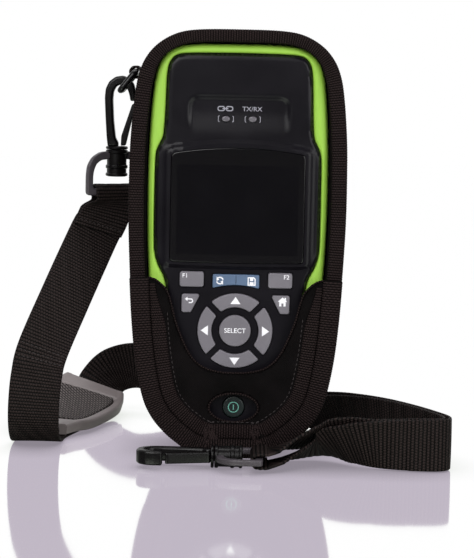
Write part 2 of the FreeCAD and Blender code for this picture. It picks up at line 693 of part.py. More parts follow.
def upper_fold():
    """Webbing over the bar of the upper loop, both ends at the stitch line."""
    bar = UPPER + V(0, 0, BAR_W)
    stitch = V(*STITCH)
    rows = []
    for side in (1, -1):
        leg = [tuple(stitch + FOLD_V * (0.9 * side)) + STITCH_W,
               tuple(stitch * 0.6 + bar * 0.4 + FOLD_V * (1.5 * side)) + (0.9, 0.34, -0.2),
               tuple(bar + FOLD_V * (2.8 * side) + V(0, 0, -4.4)) + tuple(FOLD_U),
               tuple(bar + FOLD_V * (3.0 * side) + V(0, 0, -1.6)) + tuple(FOLD_U)]
        turn = [tuple(bar + FOLD_V * (3.0 * cos(radians(a)) * side) + V(0, 0, 3.0 * sin(radians(a))))
                + tuple(FOLD_U) for a in (0, 30, 60)]
        rows.append(leg + turn)
    crest = [tuple(bar + V(0, 0, 3.0)) + tuple(FOLD_U)]
    up = tuple(-c for c in DOWN)
    stations = web(*(rows[0] + crest + rows[1][::-1]))
    level = frames(stations, 1, up, DOWN)
    for i in range(1, len(level) - 1):
        centre, along, across, normal, half = level[i]
        across = V(*stations[i][3:6]).normalize()
        level[i] = (centre, along, across, along.cross(across).normalize(), half)
    return band(level, WEB_T)


def lower_fold():
    """Webbing round the bar of the lower loop, from the lower to the upper layer."""
    bar = LOWER + V(-BAR_W, 0, 0)
    rows = [(17, -53, 2.5, 0, 1, 0), (15, -53, 2.5, 0, 1, 0)]
    for a in (270, 240, 210, 180, 150, 120, 90):
        rows.append((bar.x + 3.15 * cos(radians(a)), bar.y, bar.z + 3.15 * sin(radians(a)), 0, 1, 0))
    rows += [(15, -53, 8.85, 0, 1, 0), (17, -53, 8.9, 0, 1, 0)]
    return band(frames(web(*rows), 1, (-1, 0, 0), (1, 0, 0)), WEB_T)


def adjuster_slide():
    """Frame with a middle bar between the two layers, behind the holster."""
    rows = frames(BACK_RUN)
    centre, along, across, normal, half = rows[len(rows) // 3]
    room = HALF + SLIDE_FIT
    side = room + SLIDE_RAIL
    slide = block(-8, 8, -4.2, 4.2, -side, side)
    slide = slide.cut([block(-5.4, 5.4, -5, 5, -room, room), block(-15, 15, -2.9, 2.9, -room, room)])
    slide = slide.fuse(block(-1.2, 1.2, -0.4, 0.4, -room - 1, room + 1))
    slide = slide.removeSplitter()
    slide.Placement = FreeCAD.Placement(FreeCAD.Matrix(
        along.x, normal.x, across.x, centre.x,
        along.y, normal.y, across.y, centre.y,
        along.z, normal.z, across.z, centre.z))
    return slide


# ---- shoulder pad -----------------------------------------------------------------------
PAD_LINE = [(-98.3, 15, 5.2, 0.99, -0.1, 0, 13.6),
            (-96.3, 26, 5.6, 0.98, -0.14, -0.02, 17.0),
            (-93, 39, 6.2, 0.97, -0.2, -0.05, 21.6),
            (-85, 67, 8.6, 0.95, -0.22, -0.13, 22.6),
            (-80.5, 85, 11.4, 0.93, -0.22, -0.24, 21.0),
            (-77.3, 97, 14.2, 0.93, -0.22, -0.3, 17.6)]
PAD_FRAME_T = 5.6
PAD_RIM = 4.8


def pad_inner():
    inner = [(x, y, z, a, b, c, h) for x, y, z, a, b, c, h in PAD_LINE[1:5]]
    return inner


def pad_frame():
    """Moulded rim of the shoulder pad."""
    rim = band(frames(PAD_LINE), PAD_FRAME_T)
    return rim.cut(band(frames(pad_inner()), 12, trim=PAD_RIM)).removeSplitter()


def pad_cushion():
    return band(frames(pad_inner()), 3.2, shift=0.9, trim=PAD_RIM + SOFT_GAP)


def pad_mesh():
    return band(frames(pad_inner()), 0.9, shift=-1.5, trim=PAD_RIM + SOFT_GAP)


# ---- export -----------------------------------------------------------------------------
os.makedirs("parts", exist_ok=True)

save("front_shell", front_shell())
save("back_shell", back_shell())
save("bumper_band", bumper_band())
save("display_window", solid(arch_wire(32.8, 96.4, 149.4, 152.4, TESTER_FRONT - BEZEL_RISE + 0.15),
                             TESTER_FRONT - BEZEL_RISE + 0.15 + WINDOW_T))
save("lcd_module", block(-LCD_X - 1.8, LCD_X + 1.8, TESTER_FRONT + PLATE + 0.3, MAT_BACK,
                         LCD_Z[0] - 3.5, LCD_Z[1] + 2.5))
save("main_board", prism(inset(FACE, 3.0), BOARD_FRONT, BOARD_FRONT + BOARD_T))
save("keypad_mat", below(prism(inset(FACE, 3.4), MAT_FRONT, MAT_BACK), 95.5))
save("link_lens", led_lens(-LED_X))
save("activity_lens", led_lens(LED_X))
save("battery_pack", block(-25.5, 25.5, 4.1, TESTER_BACK - 2.4, 33, 89))
save("battery_door", block(-26.7, 26.7, TESTER_BACK - 2.0, TESTER_BACK, 31.8, 92.3))
save("case_screws", case_screws())
save("lan_jack", jack(1, 122.6))
save("wiremap_jack", jack(-1, 108))
save("fiber_cage", fiber_cage())
save("power_jack", power_jack())
for key_name in KEYS:
    save(key_name, key(key_name))

save("holster_sides", holster_sides())
save("holster_back", holster_back())
save("pocket_front", pocket_front())
save("rim_binding", rim_binding())
save("pocket_binding", pocket_binding())
save("belt_loop", belt_loop())
save("ring_tab", ring_tab())
save("d_ring", d_ring())

save("upper_loop", place_upper(swivel_loop(), LOOP_TURN))
save("upper_hook", place_upper(hook(), 0))
save("upper_gate", place_upper(gate(), 0))
save("lower_loop", place_lower(swivel_loop()))
save("lower_hook", place_lower(hook()))
save("lower_gate", place_lower(gate()))

save("strap_upper_fold", upper_fold())
save("strap_left", run_piece(0))
save("strap_pad_run", run_piece(1))
save("strap_arch", run_piece(2))
save("strap_back_outer", run_piece(3, LAYER))
save("strap_back_inner", run_piece(3, -LAYER))
save("strap_bend_outer", run_piece(4, LAYER))
save("strap_bend_inner", run_piece(4, -LAYER))
save("strap_front_outer", band(frames(FRONT_OUTER, 3, TOWARD_HOOK, TOWARD_HOOK), WEB_T))
save("strap_front_inner", band(frames(FRONT_INNER, 3, TOWARD_HOOK, TOWARD_HOOK), WEB_T))
save("strap_lower_fold", lower_fold())
save("adjuster_slide", adjuster_slide())
save("pad_frame", pad_frame())
save("pad_cushion", pad_cushion())
save("pad_mesh", pad_mesh())
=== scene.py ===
import math

import bmesh
import bpy
import numpy as np
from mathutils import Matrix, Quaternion, Vector, geometry


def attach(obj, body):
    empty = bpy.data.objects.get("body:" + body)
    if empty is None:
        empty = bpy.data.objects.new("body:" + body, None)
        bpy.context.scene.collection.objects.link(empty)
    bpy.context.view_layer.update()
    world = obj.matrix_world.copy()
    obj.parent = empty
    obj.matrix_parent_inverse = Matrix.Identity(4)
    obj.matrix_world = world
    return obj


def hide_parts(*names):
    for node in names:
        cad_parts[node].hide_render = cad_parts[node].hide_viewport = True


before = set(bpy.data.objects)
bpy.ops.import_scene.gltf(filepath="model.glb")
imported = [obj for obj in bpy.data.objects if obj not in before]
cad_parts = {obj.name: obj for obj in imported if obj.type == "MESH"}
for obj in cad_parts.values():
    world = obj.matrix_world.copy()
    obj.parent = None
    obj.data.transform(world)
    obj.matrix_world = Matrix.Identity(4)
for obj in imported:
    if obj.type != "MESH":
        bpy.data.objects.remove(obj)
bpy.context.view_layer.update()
MM = 0.001
ROOT = "tester_in_holster"

# ----------------------------------------
# Tester face: one moulded ABS front with a raised display frame, a lamp scoop and key
# holes. Its edge is rounded down to the bumper and its wall goes back behind it.
# Outlines here and below are in millimetres, (x, z), right half from base to top centre.
FACE = [(13, 9.4), (19, 11), (25, 15.4), (29, 21), (31.4, 29), (32.6, 45), (33.2, 66),
        (33.8, 80), (35.2, 88), (38.2, 94), (40, 100), (40.5, 108), (40.5, 140),
        (40.1, 149), (38.6, 153.5), (36.9, 157), (36.2, 163), (35.6, 178), (35.2, 188),
        (34, 193.5), (30.5, 197), (22, 197.9), (0, 198.2)]
FRONT, FACE_EDGE = -21.5, 2.2
FRAME_RISE, SCOOP_SINK = 1.6, 1.2
PAD_Z, POWER_Z = 62.5, 24.5
LED_X, LED_Z = 6.55, 166.5


def unit(v):
    """Vectors along the last axis, each divided by its length."""
    return v / np.linalg.norm(v, axis=-1, keepdims=True)


def arc_length(path):
    """Length along a path up to each of its points."""
    return np.r_[0, np.cumsum(np.linalg.norm(np.diff(path, axis=0), axis=1))]


def catmull(rows, steps):
    """Catmull-Rom curve through rows of numbers, steps points per stretch."""
    p = np.asarray(rows, float)
    p = np.vstack([p[:1], p, p[-1:]])
    t = (np.arange(steps) / steps)[:, None]
    out = []
    for i in range(1, len(p) - 2):
        a, b, c, d = p[i - 1:i + 3]
        out.append(0.5 * (2 * b + (c - a) * t + (2 * a - 5 * b + 4 * c - d) * t ** 2
                          + (3 * b - a - 3 * c + d) * t ** 3))
    return np.vstack(out + [p[-1:]])


def resample(path, count, closed=False):
    """Points at equal arc length along a path."""
    p = np.vstack([path, path[:1]]) if closed else np.asarray(path, float)
    s = arc_length(p)
    q = np.linspace(0, s[-1], count + 1)[:-1] if closed else np.linspace(0, s[-1], count)
    return np.column_stack([np.interp(q, s, p[:, k]) for k in range(p.shape[1])])


def outline(half, count=600):
    """Closed (x, z) outline from a right half: base line, right side, top, left side."""
    right = np.array(half, float)
    left = right[-2::-1] * [-1, 1]
    loop = catmull(np.vstack([right, left]), 10)
    return resample(loop, count, closed=True)


def in_3d(points, y):
    """(x, z) points at depth y, as (x, y, z) rows."""
    return np.column_stack([points[:, 0], np.full(len(points), y), points[:, 1]])


def normals2(loop):
    """Outward normals of a closed counter-clockwise (x, z) loop."""
    t = unit(np.roll(loop, -1, 0) - np.roll(loop, 1, 0))
    return np.column_stack([t[:, 1], -t[:, 0]])


def offset_loop(loop, d):
    """Closed loop moved inward by d (outward if negative)."""
    return loop - normals2(loop) * d


def smoothstep(t):
    """0 to 1 with flat ends: 3 t squared less 2 t cubed."""
    t = np.clip(t, 0, 1)
    return t * t * (3 - 2 * t)


def loop_distance(points, loop):
    """Signed distance to a closed loop, positive inside."""
    a = loop
    b = np.roll(loop, -1, 0)
    best = np.full(len(points), 1e9)
    inside = np.zeros(len(points), bool)
    for p, q in zip(a, b):
        d = q - p
        t = np.clip(((points - p) @ d) / max(d @ d, 1e-12), 0, 1)
        best = np.minimum(best, np.linalg.norm(points - p - t[:, None] * d, axis=1))
        crosses = (p[1] > points[:, 1]) != (q[1] > points[:, 1])
        with np.errstate(divide="ignore", invalid="ignore"):
            x = (q[0] - p[0]) * (points[:, 1] - p[1]) / (q[1] - p[1]) + p[0]
        inside ^= crosses & (points[:, 0] < x)
    return np.where(inside, best, -best)


def soften(loop, passes, step=0.6):
    """Rounds the corners of a closed loop by repeated three-point averaging."""
    length = np.sum(np.linalg.norm(np.roll(loop, -1, 0) - loop, axis=1))
    loop = resample(loop, int(length / step), closed=True)
    for _ in range(passes):
        loop = 0.25 * np.roll(loop, 1, 0) + 0.5 * loop + 0.25 * np.roll(loop, -1, 0)
    return loop


def round_poly(corners, r, per=8):
    """Closed loop with rounded corners; corners are counter-clockwise (x, z)."""
    c = np.array(corners, float)
    out = []
    for i in range(len(c)):
        a, b, d = c[i - 1], c[i], c[(i + 1) % len(c)]
        u, w = unit(a - b), unit(d - b)
        ang = math.acos(np.clip(u @ w, -1, 1))
        t = r / math.tan(ang / 2)
        centre = b + unit(u + w) * (r / math.sin(ang / 2))
        p0, p1 = b + u * t - centre, b + w * t - centre
        a0, a1 = math.atan2(p0[1], p0[0]), math.atan2(p1[1], p1[0])
        delta = (a1 - a0 + math.pi) % (2 * math.pi) - math.pi
        for k in range(per):
            w2 = a0 + delta * k / (per - 1)
            out.append(centre + r * np.array([math.cos(w2), math.sin(w2)]))
    return np.array(out)


def box(x0, x1, z0, z1):
    """Corners of a plain rectangle."""
    return [(x0, z0), (x1, z0), (x1, z1), (x0, z1)]


def rect(x0, x1, z0, z1, r):
    """Rounded rectangle."""
    return round_poly(box(x0, x1, z0, z1), r)


def ccw(loop):
    """Loop turned counter-clockwise, by the sign of its area."""
    area = np.sum(loop[:, 0] * np.roll(loop[:, 1], -1) - np.roll(loop[:, 0], -1) * loop[:, 1])
    return loop if area > 0 else loop[::-1]


def ellipse(cx, cz, rx, rz, count=56):
    """Points of an ellipse at equal angles."""
    a = np.linspace(0, 2 * math.pi, count + 1)[:-1]
    return np.column_stack([cx + rx * np.cos(a), cz + rz * np.sin(a)])


def arch_loop(half, low, side, crown, bow=0.0, passes=10):
    """Display outline: base bowed down by bow, straight sides, arched top."""
    t = np.linspace(0, 1, 90)[:-1]
    base = np.column_stack([-half + 2 * half * t, low - bow * np.sin(math.pi * t)])
    right = np.column_stack([np.full(60, half), np.linspace(low, side, 61)[:-1]])
    r = (half ** 2 + (crown - side) ** 2) / (2 * (crown - side))
    a = np.linspace(math.asin(half / r), -math.asin(half / r), 90)[:-1]
    top = np.column_stack([r * np.sin(a), crown - r + r * np.cos(a)])
    left = right[::-1] * [-1, 1]
    return soften(np.vstack([base, right, top, left]), passes)


def ring_key(turn, r_in=11.6, r_out=18.5, gap=1.5):
    """Quarter of the direction ring, between two radii, with half the gap at each end."""
    lo, li = math.asin(gap / r_out), math.asin(gap / r_in)
    a = math.radians(45 + turn)
    outer = np.linspace(a + lo, a + math.pi / 2 - lo, 40)
    inner = np.linspace(a + math.pi / 2 - li, a + li, 30)
    loop = np.vstack([np.column_stack([r_out * np.cos(outer), PAD_Z + r_out * np.sin(outer)]),
                      np.column_stack([r_in * np.cos(inner), PAD_Z + r_in * np.sin(inner)])])
    return soften(loop, 3, 0.45)


def quick_loop():
    """Wide key whose lower edge is arched by 1.7 in its middle."""
    x = np.linspace(-11.5, 11.5, 40)
    low = 83.4 + 1.7 * (1 - (x / 11.5) ** 2)
    loop = np.vstack([np.column_stack([x, low]), [[11.5, 90.4], [-11.5, 90.4]]])
    return soften(loop, 3, 0.45)


KEYS = {
    "f1_key": rect(-27.7, -15.8, 83.9, 91.5, 1.2),
    "f2_key": rect(15.8, 27.7, 83.9, 91.5, 1.2),
    "quick_key": quick_loop(),
    "back_key": ccw(round_poly([(-26.6, 80.4), (-26.6, 71.2), (-22.0, 71.2), (-17.3, 80.4)], 1.0)),
    "home_key": ccw(round_poly([(26.6, 80.4), (17.3, 80.4), (22.0, 71.2), (26.6, 71.2)], 1.0)),
    "up_key": ring_key(0), "left_key": ring_key(90), "down_key": ring_key(180), "right_key": ring_key(270),
    "select_key": ellipse(0, PAD_Z, 7.8, 7.8, 90),
    "power_key": ellipse(0, POWER_Z, 5.3, 5.3, 70),
}


def shade_smooth(mesh):
    """Smooth shading, kept sharp over 38 degrees."""
    mesh.polygons.foreach_set("use_smooth", [True] * len(mesh.polygons))
    mesh.set_sharp_from_angle(angle=math.radians(38))


def add_mesh(name, verts, faces, material, body=ROOT, nodes=(), slot=None, uv=None, smooth=True):
    """Mesh object in millimetres, riding on a body and standing for CAD nodes."""
    mesh = bpy.data.meshes.new(name)
    mesh.from_pydata((np.asarray(verts, float) * MM).tolist(), [], faces)
    mesh.update()
    if uv is not None:
        layer = mesh.uv_layers.new(name="UVMap")
        index = np.zeros(len(mesh.loops), int)
        mesh.loops.foreach_get("vertex_index", index)
        layer.data.foreach_set("uv", np.asarray(uv, float)[index].ravel())
    obj = bpy.data.objects.new(name, mesh)
    bpy.context.scene.collection.objects.link(obj)
    mesh.materials.append(material)
    if smooth:
        shade_smooth(mesh)
    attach(obj, body)
    if nodes:
        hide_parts(*nodes)
    return obj


def fix_normals(obj, weld=0.0):
    """Turns all faces outwards, after joining points closer than weld metres."""
    bm = bmesh.new()
    bm.from_mesh(obj.data)
    if weld:
        bmesh.ops.remove_doubles(bm, verts=bm.verts, dist=weld)
    bmesh.ops.recalc_face_normals(bm, faces=bm.faces)
    bm.to_mesh(obj.data)
    bm.free()
    return obj


def triangles(lines, extra, holes, reach):
    """Triangles between closed lines and extra points, inside lines[0] and outside the holes;
    gives their points, the number each point had, and the triangles."""
    edges, base = [], 0
    for line in lines:
        k = len(line)
        edges += [(base + i, base + (i + 1) % k) for i in range(k)]
        base += k
    points = [Vector(p) for p in np.vstack(list(lines) + [extra])]
    flat, _, tri, source, *_ = geometry.delaunay_2d_cdt(points, edges, [], 0, reach)
    flat, tri = np.array([tuple(v) for v in flat]), np.array(tri)
    mid = flat[tri].mean(axis=1)
    good = loop_distance(mid, lines[0]) > 0
    for hole in holes:
        good &= loop_distance(mid, hole) < 0
    return flat, source, tri[good]


def panel(name, border, holes, height, step, material, creases=(), depth=2.0, **options):
    """Region inside border, less holes, pushed to y = height(x, z), with walls turned back by
    depth. Border, holes and creases are (x, z) loops; points lie every step between them."""
    lo, hi = border.min(0), border.max(0)
    gx, gz = np.meshgrid(np.arange(lo[0] + step / 2, hi[0], step),
                         np.arange(lo[1] + step / 2, hi[1], step))
    pts = np.column_stack([gx.ravel(), gz.ravel()])
    clear = step * 0.45
    ok = loop_distance(pts, border) > clear
    for hole in holes:
        ok &= loop_distance(pts, hole) < -clear
    for crease in creases:
        ok &= np.abs(loop_distance(pts, crease)) > clear
    loops = [border] + list(holes)
    flat, _, tri = triangles(loops + list(creases), pts[ok], holes, 1e-5)
    verts = [in_3d(flat, height(flat[:, 0], flat[:, 1]))]
    faces = tri.tolist()
    count = len(flat)
    for loop in loops:
        k = len(loop)
        y = height(loop[:, 0], loop[:, 1])
        verts += [in_3d(loop, y + d) for d in (0, depth)]
        i = np.arange(k)
        j = np.roll(i, -1)
        faces += (count + np.column_stack([i, j, k + j, k + i])).tolist()
        count += 2 * k
    obj = fix_normals(add_mesh(name, np.vstack(verts), faces, material, smooth=False, **options), 1e-6)
    shade_smooth(obj.data)
    return obj


def srgb(code):
    """Linear colour of a six-digit sRGB code."""
    out = []
    for i in (0, 2, 4):
        c = int(code[i:i + 2], 16) / 255
        out.append(c / 12.92 if c <= 0.04045 else ((c + 0.055) / 1.055) ** 2.4)
    return (*out, 1.0)


class Tree:
    """Thin wrapper that adds and links shader nodes."""

    def __init__(self, tree):
        self.tree = tree

    def feed(self, sock, value):
        """Links a socket to an output, or sets its number or colour."""
        if isinstance(value, bpy.types.NodeSocket):
            self.tree.links.new(value, sock)
        else:
            sock.default_value = value

    def node(self, kind, **inputs):
        """New node; inputs are named, or numbered as i0, i1; sockets are linked to them."""
        n = self.tree.nodes.new("ShaderNode" + kind)
        props = inputs.pop("props", {})
        for key, value in props.items():
            setattr(n, key, value)
        for key, value in inputs.items():
            numbered = key[0] == "i" and key[1:].isdigit()
            sock = n.inputs[int(key[1:]) if numbered else key.replace("_", " ")]
            self.feed(sock, value)
        return n

    def math(self, op, a, b=0.0, c=0.0):
        """Output of a sum, product or other operation on up to three values."""
        return self.node("Math", props={"operation": op}, i0=a, i1=b, i2=c).outputs[0]

    def mix(self, fac, a, b):
        """Colour between a and b."""
        n = self.node("Mix", props={"data_type": "RGBA"})
        for number, value in ((0, fac), (6, a), (7, b)):
            self.feed(n.inputs[number], value)
        return n.outputs[2]


def group(name, sockets_in, sockets_out):
    """Empty shader group of number sockets, with its tree, input and output."""
    g = bpy.data.node_groups.new(name, "ShaderNodeTree")
    for label, value in sockets_in:
        s = g.interface.new_socket(label, in_out="INPUT", socket_type="NodeSocketFloat")
        s.default_value = value
    for label in sockets_out:
        g.interface.new_socket(label, in_out="OUTPUT", socket_type="NodeSocketFloat")
    t = Tree(g)
    gi = g.nodes.new("NodeGroupInput")
    go = g.nodes.new("NodeGroupOutput")
    return g, t, gi, go


def make_grain():
    """Fine moulded texture and slow unevenness of a plastic surface."""
    g, t, gi, go = group("grain", [("Scale", 2500.0), ("Slow", 40.0)], ["Height", "Cloud"])
    co = t.node("TexCoord").outputs["Object"]
    fine = t.node("TexNoise", Vector=co, Scale=gi.outputs["Scale"], Detail=3.0, Roughness=0.6).outputs[0]
    slow = t.node("TexNoise", Vector=co, Scale=gi.outputs["Slow"], Detail=3.0).outputs[0]
    g.links.new(fine, go.inputs[0])
    g.links.new(slow, go.inputs[1])
    return g


GRAIN = make_grain()


def material(name, color, rough=0.5, metal=0.0, coat=0.0, kind=None, bump=0.0, dark=None, light=None,
             spread=0.08, gloss=0.35, **values):
    """Principled material; kind picks the group that shades and embosses it."""
    m = bpy.data.materials.new(name)
    m.use_nodes = True
    m.node_tree.nodes.clear()
    t = Tree(m.node_tree)
    out = t.node("OutputMaterial")
    p = t.node("BsdfPrincipled")
    m.node_tree.links.new(p.outputs[0], out.inputs[0])
    base = srgb(color)
    p.inputs["Base Color"].default_value = base
    p.inputs["Roughness"].default_value = rough
    p.inputs["Metallic"].default_value = metal
    p.inputs["Coat Weight"].default_value = coat
    p.inputs["Coat Roughness"].default_value = 0.25
    p.inputs["Specular IOR Level"].default_value = gloss
    if kind:
        n = m.node_tree.nodes.new("ShaderNodeGroup")
        n.node_tree = kind
        for key, value in values.items():
            n.inputs[key].default_value = value
        # The group's second output sets the colour between dark and light: random mottle for grain and
        # cloth, painted shade in the valleys and painted highlight on the rib tops for the weave.
        shade = n.outputs[1]
        lo = srgb(dark) if dark else tuple(c * 0.75 for c in base[:3]) + (1,)
        hi = srgb(light) if light else tuple(min(c * 1.25, 1) for c in base[:3]) + (1,)
        ramp = t.node("MapRange", i0=shade, i1=0.25, i2=0.8).outputs[0]
        m.node_tree.links.new(t.mix(ramp, lo, hi), p.inputs["Base Color"])
        r = t.node("MapRange", i0=shade, i1=0.2, i2=0.8, i3=rough - spread, i4=rough + spread)
        m.node_tree.links.new(r.outputs[0], p.inputs["Roughness"])
        if bump:
            b = t.node("Bump", Height=n.outputs[0], Distance=bump, Strength=0.8)
            m.node_tree.links.new(b.outputs[0], p.inputs["Normal"])
    return m


SHELL = material("shell_black", "100e13", 0.32, kind=GRAIN, bump=0.00002, gloss=0.15, spread=0.05,
                 Scale=4200.0)
JACK = material("jack_black", "0b0b0d", 0.4, kind=GRAIN)

face_loop = outline(FACE, 460)
bezel_out = arch_loop(37.2, 93.2, 152.4, 156.8, 0.5)
bezel_in = arch_loop(34.6, 95.0, 150.8, 154.9, 0.5)
opening = arch_loop(33.0, 96.2, 149.6, 152.6, 0.4)
dish_out = soften(rect(-25.4, 25.4, 157.4, 178.0, 5.0), 6)
dish_in = soften(rect(-23.0, 23.0, 159.6, 176.0, 3.5), 6)


def face_height(x, z):
    """y of the face: rounded edge, frame raised between its two lines, scoop sunk between
    its two lines and fading downwards."""
    pts = np.column_stack([x, z])
    r = FACE_EDGE
    t = np.clip(loop_distance(pts, face_loop), 0, r)
    y = FRONT + r - np.sqrt(r * r - (r - t) ** 2)
    a, b = loop_distance(pts, bezel_out), loop_distance(pts, bezel_in)
    y -= FRAME_RISE * np.where(b > 0, 1.0, np.clip(a / np.maximum(a - b, 1e-6), 0, 1))
    a, b = loop_distance(pts, dish_out), loop_distance(pts, dish_in)
    sink = np.where(b > 0, 1.0, np.clip(a / np.maximum(a - b, 1e-6), 0, 1))
    return y + SCOOP_SINK * smoothstep(sink) * smoothstep((z - 158) / 13)


key_holes = [offset_loop(loop, -0.4) for loop in KEYS.values()]
lamp_holes = [ellipse(s * LED_X, LED_Z, 2.4, 1.8, 36) for s in (-1, 1)]
panel("front_face", face_loop, key_holes + lamp_holes + [opening], face_height, 1.1, SHELL,
      creases=[bezel_out, bezel_in, dish_out, dish_in], depth=3.2, nodes=["front_shell"], slot="shell_black")
# Flat dark sheet behind the key, lamp and window openings: painted shade for the gaps round them.
SHADE_SHEET_Y = -19.0
shade_sheet = offset_loop(face_loop, 3.0)
add_mesh("gap_shade_sheet", in_3d(shade_sheet, SHADE_SHEET_Y),
         [tuple(range(len(shade_sheet)))], JACK, slot="shell_black")

# ----------------------------------------
# Display: clear acrylic window with rounded edges, glued into the frame from the front,
# over a dark panel that lies against its back.
GLASS = material("window_clear", "040305", 0.1, coat=0.3, gloss=0.35)
DISPLAY = material("display_dark", "08070a", 0.18, kind=GRAIN, gloss=0.25, spread=0.02)
WINDOW_Y, PANEL_Y = -22.5, -22.96


def grid_faces(rows, cols, wrap_u=False, wrap_v=False, start=0):
    """Quads of a rows x cols grid of points, closed over the rows or columns on request."""
    i = np.arange(rows if wrap_u else rows - 1)[:, None]
    j = np.arange(cols if wrap_v else cols - 1)
    below, right = (i + 1) % rows, (j + 1) % cols
    quads = np.broadcast_arrays(i * cols + j, i * cols + right, below * cols + right, below * cols + j)
    return (start + np.stack(quads, axis=-1).reshape(-1, 4)).tolist()


def end_caps(rows, cols, start=0):
    """Faces that close the first and the last row of a grid wrapped along its rows."""
    last = start + (rows - 1) * cols
    return [tuple(range(start + cols - 1, start - 1, -1)), tuple(range(last, last + cols))]


def plate(name, outer, holes, half, radius, place, material, **options):
    """Flat piece 2 * half thick from an (x, z) outline with holes, the edges of both faces
    rounded by radius; place moves its points."""
    steps = np.linspace(0, math.pi / 2, 5)
    inset = radius * (1 - np.cos(steps))
    level = half - radius * (1 - np.sin(steps))
    rings = list(zip(inset[::-1], -level[::-1])) + list(zip(inset, level))
    verts, faces, flats, base = [], [], {1: [], -1: []}, 0
    for index, loop in enumerate([outer] + list(holes)):
        k = len(loop)
        for d, y in rings:
            q = offset_loop(loop, -d if index else d)
            verts.append(in_3d(q, y))
        faces += grid_faces(len(rings), k, wrap_v=True, start=base)
        flats[-1].append((base, verts[-len(rings)][:, [0, 2]]))
        base += len(rings) * k
        flats[1].append((base - k, verts[-1][:, [0, 2]]))
    for side in (1, -1):
        lines = [line for _, line in flats[side]]
        index = np.concatenate([np.arange(start, start + len(line)) for start, line in flats[side]])
        flat, source, tri = triangles(lines, np.zeros((0, 2)), lines[1:], 1e-6)
        number = []
        for point, old in zip(flat, source):
            if not old:
                verts.append(np.array([[point[0], half * side, point[1]]]))
                base += 1
            number.append(int(index[old[0]]) if old else base - 1)
        faces += np.array(number)[tri].tolist()
    return fix_normals(add_mesh(name, place(np.vstack(verts)), faces, material, **options))


def at_y(y):
    """Move by y alone."""
    return lambda p: p + np.array([0, y, 0])


plate("window", arch_loop(32.8, 96.4, 149.4, 152.4, 0.4), [], 0.45, 0.3, at_y(WINDOW_Y), GLASS,
      nodes=["display_window"], slot="window_clear")
corners = [(x, PANEL_Y, z) for x, z in box(-29.8, 29.8, 100, 144)]
add_mesh("display_panel", corners, [(0, 1, 2, 3)], DISPLAY, nodes=["lcd_module"], slot="display_dark")

# ----------------------------------------
# Lamps: two oval light pipes of cloudy acrylic pressed into the scoop, each between thin
# printed brackets, with a printed symbol and a word above them.
# The lens grey is partly the cloudy acrylic's own tone and partly painted highlight, lifted to stand for the
# glint on the lens heads.
LENS_GREY_GLINT = material("lens", "565259", 0.3, coat=0.5, kind=GRAIN)
LEGEND_WHITE = material("legend_white", "e6e4ea", 0.6)
LEGEND_GREY = material("legend_grey", "8f8d98", 0.6)
for side, node in ((-1, "link_lens"), (1, "activity_lens")):
    plate(node + "_head", ellipse(side * LED_X, LED_Z, 2.1, 1.5, 40), [], 1.6, 0.7, at_y(-19.2),
          LENS_GREY_GLINT, nodes=[node], slot="lens")


def legend(name, text, size, x, z, y, body=ROOT, mat=LEGEND_WHITE, widen=1.0):
    """Flat lettering of generic function words, facing the user."""
    curve = bpy.data.curves.new(name + "_text", "FONT")
    curve.body = text
    curve.size = size
    curve.align_x = "CENTER"
    curve.align_y = "CENTER"
    curve.offset = 0.008 * size
    temp = bpy.data.objects.new(name + "_temp", curve)
    mesh = bpy.data.meshes.new_from_object(temp)
    v = np.zeros(len(mesh.vertices) * 3)
    mesh.vertices.foreach_get("co", v)
    v = v.reshape(-1, 3)
    faces = [tuple(p.vertices) for p in mesh.polygons]
    bpy.data.objects.remove(temp)
    bpy.data.curves.remove(curve)
    bpy.data.meshes.remove(mesh)
    pts = np.column_stack([x + v[:, 0] * widen, np.full(len(v), y), z + v[:, 1]])
    return add_mesh(name, pts, faces, mat, body, smooth=False)


def marks(name, shapes, y, body=ROOT, mat=LEGEND_WHITE):
    """Printed symbol made of flat (x, z) polygons, each 3 um in front of the last."""
    verts, faces = [], []
    for k, shape in enumerate(shapes):
        shape = ccw(np.array(shape, float))
        faces.append(tuple(range(len(verts), len(verts) + len(shape))))
        verts += [(p[0], y - 0.003 * k, p[1]) for p in shape]
    return add_mesh(name, verts, faces, mat, body, smooth=False)


def stroke(points, width):
    """Mitred quads along a polyline of (x, z) points, width wide; closed if its ends meet."""
    p = np.array(points, float)
    d = unit(np.diff(p, axis=0))
    shut = np.allclose(p[0], p[-1])
    before = np.vstack([d[-1:] if shut else d[:1], d])
    after = np.vstack([d, d[:1] if shut else d[-1:]])
    m = unit(before + after)
    reach = width / 2 / np.maximum(np.sum(m * after, axis=1), 0.6)
    n = np.column_stack([-m[:, 1], m[:, 0]]) * reach[:, None]
    return [[p[k] - n[k], p[k + 1] - n[k + 1], p[k + 1] + n[k + 1], p[k] + n[k]] for k in range(len(d))]


def arc(cx, cz, r, a0, a1, count=20):
    """Points of an arc from angle a0 to a1 in degrees."""
    a = np.radians(np.linspace(a0, a1, count))
    return np.column_stack([cx + r * np.cos(a), cz + r * np.sin(a)])


def on_face(x, z):
    """y just proud of the face at a point."""
    return float(face_height(np.array([float(x)]), np.array([float(z)]))[0]) - 0.06


